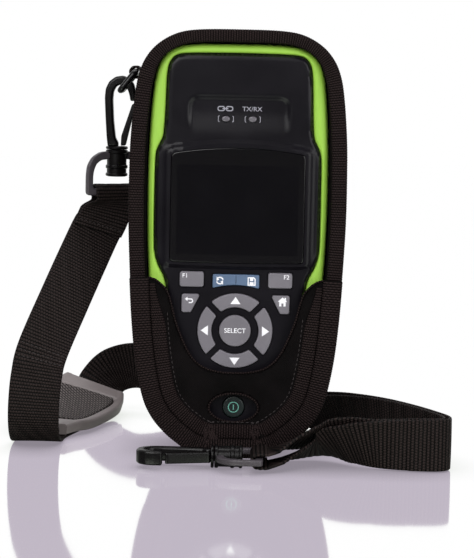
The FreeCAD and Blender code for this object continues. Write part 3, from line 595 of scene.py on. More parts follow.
for side in (-1, 1):
    for edge in (-1, 1):
        cx = side * LED_X + edge * 3.7
        marks(f"lamp_mark_{side + 1}_{edge + 1}",
              stroke([(cx - edge * 0.5, LED_Z + 1.5), (cx, LED_Z + 1.1), (cx, LED_Z - 1.1),
                      (cx - edge * 0.5, LED_Z - 1.5)], 0.32), on_face(cx, LED_Z - 1.5), mat=LEGEND_GREY)
legend("lamp_word", "TX/RX", 3.1, LED_X - 0.3, LED_Z + 4.9, on_face(LED_X, LED_Z + 3.4),
       mat=LEGEND_GREY, widen=1.08)
link_z = LED_Z + 5.0
link = []
for cx in (-8.9, -4.9):
    ring = round_poly(box(cx - 1.6, cx + 1.6, link_z - 1.0, link_z + 1.0), 0.9, 5)
    link += stroke(np.vstack([ring, ring[:1]]), 0.5)
link += stroke([(-8.3, link_z), (-5.5, link_z)], 0.5)
marks("link_symbol", link, on_face(-7, LED_Z + 3.4) - 0.15, mat=LEGEND_GREY)

# ----------------------------------------
# Keys: moulded caps with rounded rims, each loose in its hole on the silicone mat. Their
# words and symbols are printed on top and move with them.
KEY_GREY = material("key_grey", "6a666d", 0.5, kind=GRAIN, bump=0.00003, dark="666269", light="706c74")
KEY_BLUE = material("key_blue", "50627f", 0.48, kind=GRAIN, bump=0.00003, dark="4c5e7a", light="566985")
KEY_POWER = material("key_power", "0c1717", 0.4, coat=0.2, kind=GRAIN)
POWER_ICON = material("power_icon", "5f9a8c", 0.6)
KEY_TOP, CAP_HALF = -22.6, 1.9
FINISHES = {"quick_key": (KEY_BLUE, "key_blue"), "power_key": (KEY_POWER, "key_power")}
for name, loop in KEYS.items():
    look, place_slot = FINISHES.get(name, (KEY_GREY, "key_grey"))
    plate(name + "_cap", loop, [], CAP_HALF, 0.55, at_y(KEY_TOP + CAP_HALF), look, body=name + "_body",
          nodes=[name], slot=place_slot)
TOP = KEY_TOP - 0.03
legend("f1_word", "F1", 3.0, -25.0, 89.4, TOP, "f1_key_body")
legend("f2_word", "F2", 3.0, 24.8, 89.4, TOP, "f2_key_body")
legend("select_word", "SELECT", 3.3, 0, PAD_Z, TOP, "select_key_body")
for key, turn in (("up", 0), ("left", 90), ("down", 180), ("right", 270)):
    a = math.radians(turn)
    tip = np.array([(-2.5, 13.3), (2.5, 13.3), (0, 16.9)])
    spin = np.array([[math.cos(a), -math.sin(a)], [math.sin(a), math.cos(a)]])
    marks(key + "_arrow", [tip @ spin.T + [0, PAD_Z]], TOP, key + "_key_body")
refresh = []
for start in (15, 195):
    refresh += stroke(arc(-7.9, 87.3, 1.6, start, start + 118, 14), 0.62)
    refresh.append([arc(-7.9, 87.3, r, start + turn, start + turn, 1)[0]
                    for r, turn in ((2.6, 112), (0.6, 112), (1.6, 172))])
marks("refresh_symbol", refresh, TOP, "quick_key_body")


disk = [(6.0, 85.3), (9.4, 85.3), (9.4, 88.3), (8.7, 89.0), (6.0, 89.0), (6.0, 85.3)]
marks("store_symbol", stroke(disk, 0.55) + [box(6.9, 8.5, 87.4, 89.0), box(6.7, 8.7, 85.4, 86.8)],
      TOP, "quick_key_body")
marks("key_divide", stroke([(0, 85.6), (0, 90.0)], 0.22), TOP, "quick_key_body", DISPLAY)
hook_line = np.vstack([[(-23.8, 77.9)], arc(-22.0, 77.0, 0.9, 90, -90, 10), [(-23.0, 76.1)]])
marks("back_symbol", [[(-25.0, 77.9), (-23.6, 79.0), (-23.6, 76.8)]] + stroke(hook_line, 0.55),
      TOP, "back_key_body")
marks("home_symbol", [[(20.7, 77.4), (25.5, 77.4), (23.1, 79.6)], box(21.5, 22.6, 75.1, 77.4),
                      box(23.6, 24.7, 75.1, 77.4), box(22.6, 23.6, 76.6, 77.4), box(24.1, 24.8, 78.0, 79.4)],
      TOP, "home_key_body")
marks("power_symbol", stroke(arc(0, POWER_Z, 2.5, 0, 360, 34), 0.42)
      + stroke([(0, POWER_Z - 1.3), (0, POWER_Z + 1.3)], 0.5), TOP, "power_key_body", POWER_ICON)

# ----------------------------------------
# Bumper: soft green band over the joint of the shells, lips turned in at front and back.
# Its front runs from the face's edge to the body's outline and rolls over the corner.
TESTER = [(13, 5), (20.5, 7.2), (26.5, 11.5), (31, 17), (35, 25), (38.2, 36), (40, 48),
          (41.9, 67), (43.4, 90), (44.3, 115), (44.4, 140), (43.8, 160), (42.6, 178),
          (41, 189), (37.5, 196.5), (31, 201.2), (20, 202.8), (0, 203)]
GREEN = material("bumper_green", "8fbb44", 0.5, kind=GRAIN, bump=0.00003, dark="89b53f", light="95c149",
                 gloss=0.3, Scale=2600.0)


def sweep_loop(loop, profile):
    """Grid of points: a profile of (inset, y) rows carried round a closed (x, z) loop."""
    n = normals2(loop)
    return np.stack([in_3d(loop - n * inset, y) for inset, y in profile], axis=1)


tester_loop = outline(TESTER, 640)
match_face = resample(offset_loop(outline(FACE, 640), -0.3), 640, closed=True)
rows = []
for t, y in ((0, -16.5), (0, -18.4), (0.03, -18.95), (0.12, -19.35), (0.35, -19.75), (0.6, -19.8)):
    loop = match_face * (1 - t) + offset_loop(tester_loop, 1.8) * t
    rows.append(in_3d(loop, y))
bumper_rim = [(1.9, -19.4), (1.1, -18.9), (0.5, -18.0), (0.1, -16.8), (0, -15.0)]
bumper_side = [(0, y) for y in range(-13, 14)]
bumper_tail = [(0, 15.0), (0.3, 17.0), (1.2, 18.4), (2.6, 19.0), (5.2, 19.0), (5.4, 17.6)]
grid = np.concatenate([np.stack(rows, axis=1),
                       sweep_loop(tester_loop, bumper_rim + bumper_side + bumper_tail)], axis=1)
inner_y = [-15.0] * (len(rows) + 5) + list(range(-13, 14)) + [15.0] * 5 + [15.2]
inner_rows = [(3.1, y) for y in inner_y]


def thick_grid(name, outer, inner, mask, mat, **options):
    """Shell between two matching grids, closed round the loop; cells off the mask are
    windows and get walls."""
    n, m = outer.shape[:2]
    i, j = np.arange(n)[:, None], np.arange(m - 1)
    here, after = i * m + j, (i + 1) % n * m + j
    a, b, c, d = here, here + 1, after + 1, after
    a2, b2, c2, d2 = (corner + n * m for corner in (a, b, c, d))
    side = np.zeros((n, 1), bool)
    faces = []
    for keep, corners in ((mask, (a, b, c, d)), (mask, (d2, c2, b2, a2)),
                          (mask & ~np.roll(mask, 1, 0), (a, a2, b2, b)),
                          (mask & ~np.roll(mask, -1, 0), (d, c, c2, d2)),
                          (mask & ~np.hstack([side, mask[:, :-1]]), (a, d, d2, a2)),
                          (mask & ~np.hstack([mask[:, 1:], side]), (b, b2, c2, c))):
        faces += np.stack(corners, axis=-1)[keep].tolist()
    verts = np.concatenate([outer.reshape(-1, 3), inner.reshape(-1, 3)])
    return fix_normals(add_mesh(name, verts, faces, mat, **options))


def window_mask(grid_pts, boxes):
    """Cells of a closed grid that stay: those not inside a (side, y0, y1, z0, z1) box."""
    mid = (grid_pts[:, :-1] + np.roll(grid_pts, -1, 0)[:, 1:]) / 2
    mask = np.ones(mid.shape[:2], bool)
    for side, y0, y1, z0, z1 in boxes:
        mask &= ~((mid[..., 0] * side > 30) & (mid[..., 1] > y0) & (mid[..., 1] < y1)
                  & (mid[..., 2] > z0) & (mid[..., 2] < z1))
    return mask


inner_grid = sweep_loop(tester_loop, inner_rows)
ports = [(1, -7.5, 7.5, 121.7, 139.5), (1, -5.8, 5.8, 139, 155.0),
         (-1, -7.5, 7.5, 107.1, 124.9), (-1, -5.4, 5.4, 127.1, 137.9)]
thick_grid("bumper", grid, inner_grid, window_mask(grid, ports), GREEN, nodes=["bumper_band"],
           slot="bumper_green")

# ----------------------------------------
# Holster body: foam-padded woven cover, a wall round the tester and a softened back, with
# a port window in each side.
HOLSTER = [(14, 0), (22, 3.2), (28, 7.2), (34, 12.2), (40.5, 20), (45, 30), (48.6, 47.5),
           (50.8, 67.5), (52.3, 92), (53.3, 118), (53.2, 145), (52.6, 160), (51.2, 176),
           (49.4, 187), (46, 195.5), (40, 202.5), (31, 207.6), (20, 209.6), (0, 210)]


def make_cloth():
    """Close woven cover over foam: crossing threads on the object's x, z and y, with soft
    unevenness."""
    g, t, gi, go = group("cloth", [("Thread", 0.0009)], ["Height", "Cloud"])
    co = t.node("TexCoord").outputs["Object"]
    xyz = t.node("SeparateXYZ", i0=co)
    k = t.math("DIVIDE", 2 * math.pi, gi.outputs["Thread"])
    a = t.math("SINE", t.math("MULTIPLY", t.math("ADD", xyz.outputs[0], xyz.outputs[1]), k))
    b = t.math("SINE", t.math("MULTIPLY", xyz.outputs[2], k))
    weave = t.math("MULTIPLY_ADD", t.math("MULTIPLY", a, b), 0.5, 0.5)
    slow = t.node("TexNoise", Vector=co, Scale=70.0, Detail=4.0).outputs[0]
    g.links.new(weave, go.inputs[0])
    g.links.new(slow, go.inputs[1])
    return g


CLOTH = make_cloth()
FABRIC = material("padded_fabric", "0b090a", 0.8, kind=CLOTH, bump=0.0002, dark="050404", light="110e0f",
                  gloss=0.05)
holster_loop = outline(HOLSTER, 640)
panel_loop = offset_loop(holster_loop, 1.2)
panel_loop[:, 1] = np.maximum(panel_loop[:, 1], 0.2)
cavity_loop = offset_loop(tester_loop, -0.5)
CAVITY_Y, BACK_Y = 22.5, 26.8
wall_rows = [(0.9, -21.6), (0.2, -21.0), (0, -20.0), (0, -16.0)]
wall_rows += [(0, y) for y in range(-12, 13)] + [(0, 15.0)]
wall = sweep_loop(panel_loop, wall_rows)
back = []
for t in (0.12, 0.3, 0.5, 0.7, 0.85, 0.95, 1.0):
    s = math.sin(t * math.pi / 2)
    rounding = 1 - math.sqrt(max(1 - t * t, 0))
    shrink = 0.25 * t + 0.75 * rounding
    loop = panel_loop * [1 - 0.115 * shrink, 1 - 0.028 * shrink]
    loop[:, 1] += 0.35 * shrink
    back.append(in_3d(loop, 16.0 + 10.8 * s))
centre = np.array([0, 0, 104.0])
last = back[-1]
for t in (0.97, 0.9, 0.75, 0.5, 0.25, 0.04):
    ring = centre + (last - centre) * [t, 1, t]
    ring[:, 1] = BACK_Y + 0.9 * (1 - t) ** 0.5
    back.append(ring)
outer_grid = np.concatenate([wall, np.stack(back, axis=1)], axis=1)
wall_in = sweep_loop(cavity_loop, [(0, y) for _, y in wall_rows])
deep = [in_3d(cavity_loop, y)
        for y in (17.0, 19.0, 21.0, 22.0, 22.4, CAVITY_Y, CAVITY_Y)]
floor_in = [in_3d(centre[::2] + (cavity_loop - centre[::2]) * t, CAVITY_Y)
            for t in (0.95, 0.88, 0.74, 0.5, 0.25, 0.04)]
inner_grid = np.concatenate([wall_in, np.stack(deep, axis=1), np.stack(floor_in, axis=1)], axis=1)
windows = [(1, -12, 12, 121, 155.5), (-1, -12, 12, 106, 143)]
thick_grid("holster_shell", outer_grid, inner_grid, window_mask(outer_grid, windows), FABRIC,
           nodes=["holster_sides", "holster_back"], slot="padded_fabric")

# ----------------------------------------
# Bindings: ribbed nylon tape folded over the padded edges and sewn through. One goes
# round the whole front edge, two lie side by side along the pocket's edge.
def make_weave():
    """Woven tape on UV in metres: ribs along v, each crossed by threads along u that step
    half a thread from rib to rib. Height and Shade are 0 to 1."""
    g, t, gi, go = group("weave", [("Pitch", 0.00235), ("Lean", 0.35), ("Thread", 0.0014)],
                         ["Height", "Shade"])
    uv = t.node("UVMap", props={"uv_map": "UVMap"}).outputs[0]
    xyz = t.node("SeparateXYZ", i0=uv)
    u, v = xyz.outputs[0], xyz.outputs[1]
    lean = t.math("DIVIDE", t.math("MULTIPLY_ADD", u, gi.outputs["Lean"], v), gi.outputs["Pitch"])
    ribs = t.math("ABSOLUTE", t.math("SINE", t.math("MULTIPLY", lean, math.pi)))
    step = t.math("MULTIPLY", t.math("FLOOR", lean), 0.5)
    across = t.math("ADD", t.math("DIVIDE", u, gi.outputs["Thread"]), step)
    knots = t.math("ABSOLUTE", t.math("SINE", t.math("MULTIPLY", across, math.pi)))
    height = t.math("MULTIPLY", ribs, t.math("MULTIPLY_ADD", knots, 0.6, 0.4))
    noise = t.node("TexNoise", Vector=uv, Scale=900.0, Detail=2.0).outputs[0]
    g.links.new(height, go.inputs[0])
    # Shade is painted shade and highlight: dark in the rib valleys, light on the rib tops, with a little
    # random mottle.
    shade = t.math("ADD", t.math("MULTIPLY", height, 0.75), t.math("MULTIPLY", noise, 0.25))
    g.links.new(shade, go.inputs[1])
    return g


WEAVE = make_weave()
# Dark and light are the painted shade of the rib valleys and the painted highlight of the rib tops.
TAPE = material("ribbed_tape", "0f0c0d", 0.7, kind=WEAVE, bump=0.0004, dark="020101", light="2a2121",
                gloss=0.06, Pitch=0.00125, Lean=0.0, Thread=0.0012)
RIB_RISE, RIB_PITCH = 0.16, 1.25
POCKET_TOP = 88.5


def ribbed_binding(name, loop, width, y_front, y_back, closed, nodes, taper=(188, 16, 0.18)):
    """Folded tape over a padded edge: rounded section from the loop inward by width, with
    ribs across it. From height taper[0] over taper[1] it narrows by
    the share taper[2]."""
    path = resample(loop, int(arc_length(loop)[-1] / 0.3), closed=closed)
    if closed:
        n = normals2(path)
    else:
        t = unit(np.gradient(path, axis=0))
        n = np.column_stack([t[:, 1], -t[:, 0]])
    r = min(1.1, (y_back - y_front) / 2)
    section = [(0.0, y_back, 0.0)]
    for a in np.linspace(0, math.pi / 2, 5):
        section.append((r * (1 - math.cos(a)), y_front + r * (1 - math.sin(a)), 1.0))
    for d in np.linspace(r + 0.8, width - r - 0.8, 7):
        section.append((d, y_front - 0.25 * math.sin(math.pi * d / width), 1.0))
    for a in np.linspace(math.pi / 2, 0, 5):
        section.append((width - r * (1 - math.cos(a)), y_front + r * (1 - math.sin(a)), 1.0))
    section.append((width, y_back, 0.0))
    s = arc_length(path)
    ribs = RIB_RISE * (np.abs(np.sin(math.pi * s / RIB_PITCH)) - 0.6)
    pts, uv = [], []
    slim = (1 - taper[2] * smoothstep((path[:, 1] - taper[0]) / taper[1]))[:, None]
    for k, (d, y, share) in enumerate(section):
        out = 1 if d < 1 else (-1 if d > width - 1 else 0)
        q = path - n * (d * slim - share * ribs[:, None] * out)
        pts.append(in_3d(q, y - share * ribs))
        uv.append(np.column_stack([np.full(len(s), k * 0.0006), s * MM]))
    pts, uv = np.stack(pts, axis=1), np.stack(uv, axis=1)
    n_rows, m = pts.shape[:2]
    faces = grid_faces(n_rows, m, wrap_u=closed, wrap_v=True)
    if not closed:
        faces += end_caps(n_rows, m)
    return fix_normals(add_mesh(name, pts.reshape(-1, 3), faces, TAPE, nodes=nodes, slot="ribbed_tape",
                                uv=uv.reshape(-1, 2)))


def lower_run(loop, top):
    """The part of a closed loop below z = top, as one open run."""
    low = loop[:, 1] < top
    first = np.argmax(low & ~np.roll(low, 1))
    return np.roll(loop, -first, axis=0)[:int(low.sum())]


ribbed_binding("rim_tape", holster_loop, 7.6, -24.2, -22.0, True, ["rim_binding"])
ribbed_binding("pocket_tape", lower_run(holster_loop, POCKET_TOP), 9.4, -29.0, -27.4, False,
               ["pocket_binding"])
ribbed_binding("pocket_tape_inner", lower_run(offset_loop(holster_loop, 9.7), 86.0), 7.0, -28.3, -26.9,
               False, [], taper=(62, 24, 0.6))

# ----------------------------------------
# Front pocket: padded panel over the lower half, cut in a deep U round the keys, with an
# oval window over the power key. A thin beading runs along both cut edges.
U_RIGHT = [(0, 42), (7, 42.3), (14, 44), (19, 47.3), (23, 52.5), (26.5, 60), (29.5, 68),
           (31.5, 76), (34, 82.5), (39, 87.2), (43.2, POCKET_TOP)]
u_edge = catmull(np.vstack([np.array(U_RIGHT)[::-1], (np.array(U_RIGHT) * [-1, 1])[1:]]), 8)
u_edge = resample(u_edge, 150)
skirt = resample(lower_run(panel_loop, POCKET_TOP), 190)
pocket_border = ccw(np.vstack([skirt, u_edge]))
oval = ellipse(0, POWER_Z + 0.4, 12, 7, 70)


def pocket_height(x, z):
    """y of the pocket: softly rounded at its edges and the window, fuller between."""
    pts = np.column_stack([x, z])
    d = np.minimum(loop_distance(pts, pocket_border), -loop_distance(pts, oval))
    r = 1.3
    t = np.clip(d, 0, r)
    edge = r - np.sqrt(np.maximum(r * r - (r - t) ** 2, 0))
    return -27.1 + edge - 0.45 * smoothstep(d / 9)


panel("pocket_panel", pocket_border, [oval], pocket_height, 1.3, FABRIC, depth=1.6,
      nodes=["pocket_front"], slot="padded_fabric")


def sweep_tube(name, path, radius, sides, material, closed=False, **options):
    """Round section carried along a 3-D path; each ring turns as little as it can."""
    p = np.asarray(path, float)
    t = unit(np.roll(p, -1, 0) - np.roll(p, 1, 0) if closed else np.gradient(p, axis=0))
    spoke = np.cross(t[0], [0.0, 1.0, 0.0] if abs(t[0][1]) < 0.9 else [1.0, 0.0, 0.0])
    spokes = []
    for d in t:
        spoke = unit(spoke - d * (spoke @ d))
        spokes.append(spoke)
    a = np.array(spokes)[:, None]
    b = np.cross(t, a[:, 0])[:, None]
    w = 2 * math.pi * np.arange(sides) / sides
    pts = p[:, None] + radius * (a * np.cos(w)[:, None] + b * np.sin(w)[:, None])
    uv = np.stack(np.broadcast_arrays(radius * w, arc_length(p)[:, None]), axis=-1) * MM
    faces = grid_faces(len(p), sides, wrap_u=closed, wrap_v=True)
    if not closed:
        faces += end_caps(len(p), sides)
    return fix_normals(add_mesh(name, pts.reshape(-1, 3), faces, material, uv=uv.reshape(-1, 2), **options))


BEAD_Y = -26.9
sweep_tube("pocket_bead", in_3d(u_edge + [0, 0.2], BEAD_Y), 0.45, 10, TAPE, slot="padded_fabric")
ring = ellipse(0, POWER_Z + 0.4, 12.1, 7.1, 90)
sweep_tube("oval_bead", in_3d(ring, BEAD_Y), 0.5, 10, TAPE, closed=True, slot="padded_fabric")


def stitches(name, path, length, gap, thick, slot):
    """Row of raised thread loops along a 3-D path: six-sided beads, narrow at both ends."""
    p = np.asarray(path, float)
    s = arc_length(p)
    starts = np.arange(0.4, s[-1] - length, length + gap)
    at = starts[:, None] + length * np.array([0, 0.3, 0.7, 1])
    q = np.stack([np.interp(at, s, p[:, k]) for k in range(3)], axis=-1)
    d = unit(q[:, 3] - q[:, 0])
    side = unit(np.where(np.abs(d[:, 1:2]) < 0.9, np.cross(d, [0, 1, 0]), np.cross(d, [1, 0, 0])))
    up = np.cross(side, d)
    w = (math.pi * np.arange(6) / 3)[:, None]
    ring = side[:, None] * np.cos(w) + up[:, None] * np.sin(w)
    radius = thick * np.array([0.35, 1, 1, 0.35])[:, None, None]
    verts = q[:, :, None] + radius * ring[:, None]
    faces = []
    for base in range(0, 24 * len(starts), 24):
        faces += grid_faces(4, 6, wrap_v=True, start=base) + end_caps(4, 6, base)
    return fix_normals(add_mesh(name, verts.reshape(-1, 3), faces, THREAD, slot=slot))


THREAD = material("thread", "2c2627", 0.7)
seam = lower_run(resample(offset_loop(holster_loop, 17.8), 600, closed=True), 72)
stitches("pocket_stitches", in_3d(seam, -27.5),
         1.5, 0.9, 0.22, slot="padded_fabric")

# ----------------------------------------
# Belt loop: 38 mm nylon webbing sewn to the back with two rows above and two below, open
# from side to side between them.
# Dark and light are the painted shade of the rib valleys and the painted highlight of the rib tops.
WEBBING = material("webbing", "0a0808", 0.6, kind=WEAVE, bump=0.0005, dark="010101", light="2a2221",
                   gloss=0.08, Pitch=0.0019, Lean=0.0)


def rows_of(stations, steps, start=None, end=None, level=False):
    """Centre, direction, width direction and normal at each row of a band through (x, y, z,
    width direction) stations. level keeps the stations' width directions as they are."""
    rows = catmull(stations, steps)
    along = np.empty((len(rows), 3))
    along[1:-1] = rows[2:, :3] - rows[:-2, :3]
    along[0] = rows[1, :3] - rows[0, :3] if start is None else start
    along[-1] = rows[-1, :3] - rows[-2, :3] if end is None else end
    along = unit(along)
    across = unit(rows[:, 3:6])
    if not level:
        across = unit(across - along * np.sum(across * along, axis=1)[:, None])
    return np.hstack([rows[:, :3], along, across, unit(np.cross(along, across))])


def fine_rows(rows, pitch):
    """Rows of a band resampled every pitch millimetres, directions kept unit length."""
    s = arc_length(rows[:, :3])
    at = np.linspace(0, s[-1], max(int(s[-1] / pitch) + 1, 8))
    fine = np.column_stack([np.interp(at, s, rows[:, k]) for k in range(rows.shape[1])])
    for k in (3, 6, 9):
        fine[:, k:k + 3] = unit(fine[:, k:k + 3])
    return fine, s[-1]


def ribbon(name, rows, half, thick, material, rib=0.0, pitch=2.35, twill=0.0, wave=0.0, step=0.42,
           **options):
    """Woven band with rounded edges.
    Section: u from -half to half, lens ends of radius thick / 2; along it ribs stand
    rib * |sin(pi v / pitch)| above the body on both faces, and twill tilts them by
    twill millimetres per millimetre of width. wave bends the edges softly."""
    rows, length = fine_rows(rows, step)
    v = np.linspace(0, length, len(rows))
    r = thick / 2
    across = np.r_[-half, -half + r * 0.15, -half + r * 0.5,
                   np.linspace(-half + r, half - r, 22), half - r * 0.5, half - r * 0.15, half]
    edge = np.clip((half - np.abs(across)) / r, 0, 1)
    face = r * np.sqrt(np.clip(1 - (1 - edge) ** 2, 0, 1))
    u = np.r_[across, across[-2:0:-1]]
    side = np.r_[np.ones(len(across)), -np.ones(len(across) - 2)]
    h = np.r_[face, face[-2:0:-1]]
    uu, vv = np.meshgrid(u, v)
    ribs = np.abs(np.sin(math.pi * (vv + twill * uu) / pitch)) - 0.5
    relief = rib * ribs * np.clip(h / r, 0, 1)
    offset = side * (h + relief) + wave * np.sin(vv * 0.11 + 0.7) * (uu / half) ** 2
    pts = rows[:, None, :3] + rows[:, None, 6:9] * uu[..., None] + rows[:, None, 9:12] * offset[..., None]
    n, m = uu.shape
    faces = grid_faces(n, m, wrap_v=True) + end_caps(n, m)
    uv = np.column_stack([uu.ravel(), vv.ravel()]) * MM
    obj = add_mesh(name, pts.reshape(-1, 3), faces, material, uv=uv, **options)
    return fix_normals(obj), length * MM


BELT_LINE = [(28.0, 172), (28.0, 166), (28.4, 161), (31.0, 158), (33.0, 154), (33.6, 148),
             (33.6, 120), (33.0, 114), (31.0, 110), (28.4, 107), (28.0, 102), (28.0, 96)]
loop_path = [(0, y, z, 1, 0, 0) for y, z in BELT_LINE]
belt, belt_length = ribbon("belt_loop_web", rows_of(loop_path, 6), 19, 1.6, WEBBING, rib=0.12,
                           nodes=["belt_loop"], slot="webbing")
for z in (169.5, 164.5, 103.5, 98.5):
    stitches(f"belt_stitches_{int(z)}", [(-17, 29.0, z), (17, 29.0, z)], 1.7, 1.0, 0.25, slot="webbing")

# ----------------------------------------
# Carrying ring: painted steel wire bent to a rounded box and welded, hanging from a
# webbing tab that is sewn to the holster's left side.
RING = material("ring_black", "0c0a0c", 0.32, kind=GRAIN, gloss=0.3)
TAB_R = 2.55
TAB = np.array([-52.6, 0, 188.2])
tab_line = [arc(TAB[0], TAB[2], TAB_R, a, a, 1)[0] for a in (260, 235, 205, 175, 145, 115, 85, 60)]
tab_path = [(x, 16.5, z, 0, 1, 0) for x, z in [(-48.9, 184.9), *tab_line, (-49.6, 189.2)]]
tab, tab_length = ribbon("ring_tab_web", rows_of(tab_path, 5), 8.0, 1.3, WEBBING, rib=0.1,
                         nodes=["ring_tab"], slot="webbing")
drop = np.array([-7.2, 0, -9.2])
corners = [TAB + [0, 5.6, 0], TAB + [0, 27.4, 0], TAB + drop + [0, 27.4, 0], TAB + drop + [0, 5.6, 0]]
wire = []
for i in range(4):
    a, b, c = corners[i - 1], corners[i], corners[(i + 1) % 4]
    for t in np.linspace(0, 1, 9):
        wire.append(b + unit(a - b) * 2.4 * (1 - t) ** 2 + unit(c - b) * 2.4 * t ** 2)
sweep_tube("carry_ring", resample(np.array(wire), 120, closed=True), 1.6, 18, RING, closed=True,
           body="d_ring_body", nodes=["d_ring"], slot="ring_black")

# ----------------------------------------
# Swivel hooks: nylon loop with a turned barrel, open hook on a stem, thin sprung gate.
# Drawn upright in their own axes and then placed.
# The loop frame's grey, lighter than its near-black barrel, is painted sheen on the loop's dark nylon.
LOOP_GREY_SHEEN = material("loop_plastic", "423d42", 0.4, kind=GRAIN, bump=0.00003)
LOOP_DARK = material("loop_plastic_dark", "0c0a0b", 0.3, kind=GRAIN, bump=0.00002, gloss=0.22)
HOOK = material("hook_plastic", "0b090a", 0.3, kind=GRAIN, bump=0.00002, gloss=0.22)
loop_half = [(16.4, -9.0), (16.4, 0.5), (15.9, 5.2), (13.6, 9.2), (9.5, 11.8), (5, 12.2)]
loop_hole = [(13.6, -6.0), (13.6, 0), (13.2, 3), (11.8, 6.4), (9, 8.4), (4, 8.8)]
loop_outer, loop_inner = (soften(np.array(half + [(-x, z) for x, z in half[::-1]], float), passes, 0.5)
                          for half, passes in ((loop_half, 8), (loop_hole, 6)))
loop_outer = offset_loop(loop_outer, -0.6)
barrel = [(2.6, 0.0), (4.6, 0.0), (5.3, 0.25), (5.6, 0.6), (5.6, 1.4), (5.3, 1.75), (5.0, 1.9), (5.0, 3.9),
          (5.3, 4.1), (5.6, 4.4), (5.6, 5.5), (5.3, 5.85), (5.0, 6.0), (5.0, 11.6), (5.3, 11.8), (5.6, 12.1),
          (5.6, 13.2), (5.2, 13.55), (4.6, 13.6), (2.6, 13.6)]
collar = [(2.3, 10.0), (2.3, 13.7), (5.2, 13.85), (5.6, 14.2), (5.6, 15.0), (5.1, 15.35), (2.0, 15.4)]
hook_points = [(-4.6, 15.2), (-5.2, 20), (-5.9, 30), (-6.4, 40), (-6.0, 44.5), (-4.2, 48.2), (-1, 50.6),
               (2.6, 51.2), (6, 50), (8.4, 47), (9.4, 43), (9.4, 38.5), (6.6, 38.3), (6.2, 41), (5.2, 44.2),
               (3.2, 46.2), (1.4, 46.6), (-0.6, 45.6), (-1.9, 43), (-2.2, 39), (-1.6, 28), (-0.6, 19.6),
               (0.2, 18.2), (0.8, 17.4), (0.8, 15.2)]
hook_outline = soften(ccw(np.array(hook_points, float)), 3, 0.5)
gate_points = [(2.0, 15.7), (4.5, 15.8), (9.2, 36.2), (8.8, 37.2), (7.5, 36.8), (2.2, 20.6)]
gate_outline = soften(ccw(np.array(gate_points, float)), 2, 0.4)


def lathe(name, rows, place, material, sides=72, **options):
    """Turned solid: (radius, height) rows round local z, then moved by place."""
    r, z = np.array(rows).T[:, :, None]
    w = 2 * math.pi * np.arange(sides) / sides
    pts = np.stack(np.broadcast_arrays(r * np.cos(w), r * np.sin(w), z), axis=-1).reshape(-1, 3)
    faces = grid_faces(len(rows), sides, wrap_v=True) + end_caps(len(rows), sides)
    return fix_normals(add_mesh(name, place(pts), faces, material, **options))


def upper_place(turn):
    """Upright at the ring, turned about the stem."""
    a = math.radians(turn)
    spin = np.array([[math.cos(a), -math.sin(a), 0], [math.sin(a), math.cos(a), 0], [0, 0, 1]])
    return lambda p: p @ spin.T + np.array([-62, 21, 135])


def lower_place(p):
    """Laid on the table, nose to the left."""
    return np.column_stack([-p[:, 2], -p[:, 0], p[:, 1]]) + np.array([5, -53, 5.65])


for where, loop_at, hook_at in (("upper", upper_place(30), upper_place(0)),
                                ("lower", lower_place, lower_place)):
    plate(where + "_loop_frame", loop_outer, [loop_inner], 1.5, 0.75, loop_at, LOOP_GREY_SHEEN,
          nodes=[where + "_loop"], slot="loop_plastic")
    lathe(where + "_barrel", barrel, loop_at, LOOP_DARK, slot="loop_plastic")
    plate(where + "_hook_frame", hook_outline, [], 3.5, 1.2, hook_at, HOOK, body=where + "_hook_body",
          nodes=[where + "_hook"], slot="hook_plastic")
    lathe(where + "_collar", collar, hook_at, HOOK, body=where + "_hook_body", slot="hook_plastic")
    plate(where + "_gate_bar", gate_outline, [], 2.6, 0.6, hook_at, HOOK, body=where + "_gate_body",
          nodes=[where + "_gate"], slot="hook_plastic")

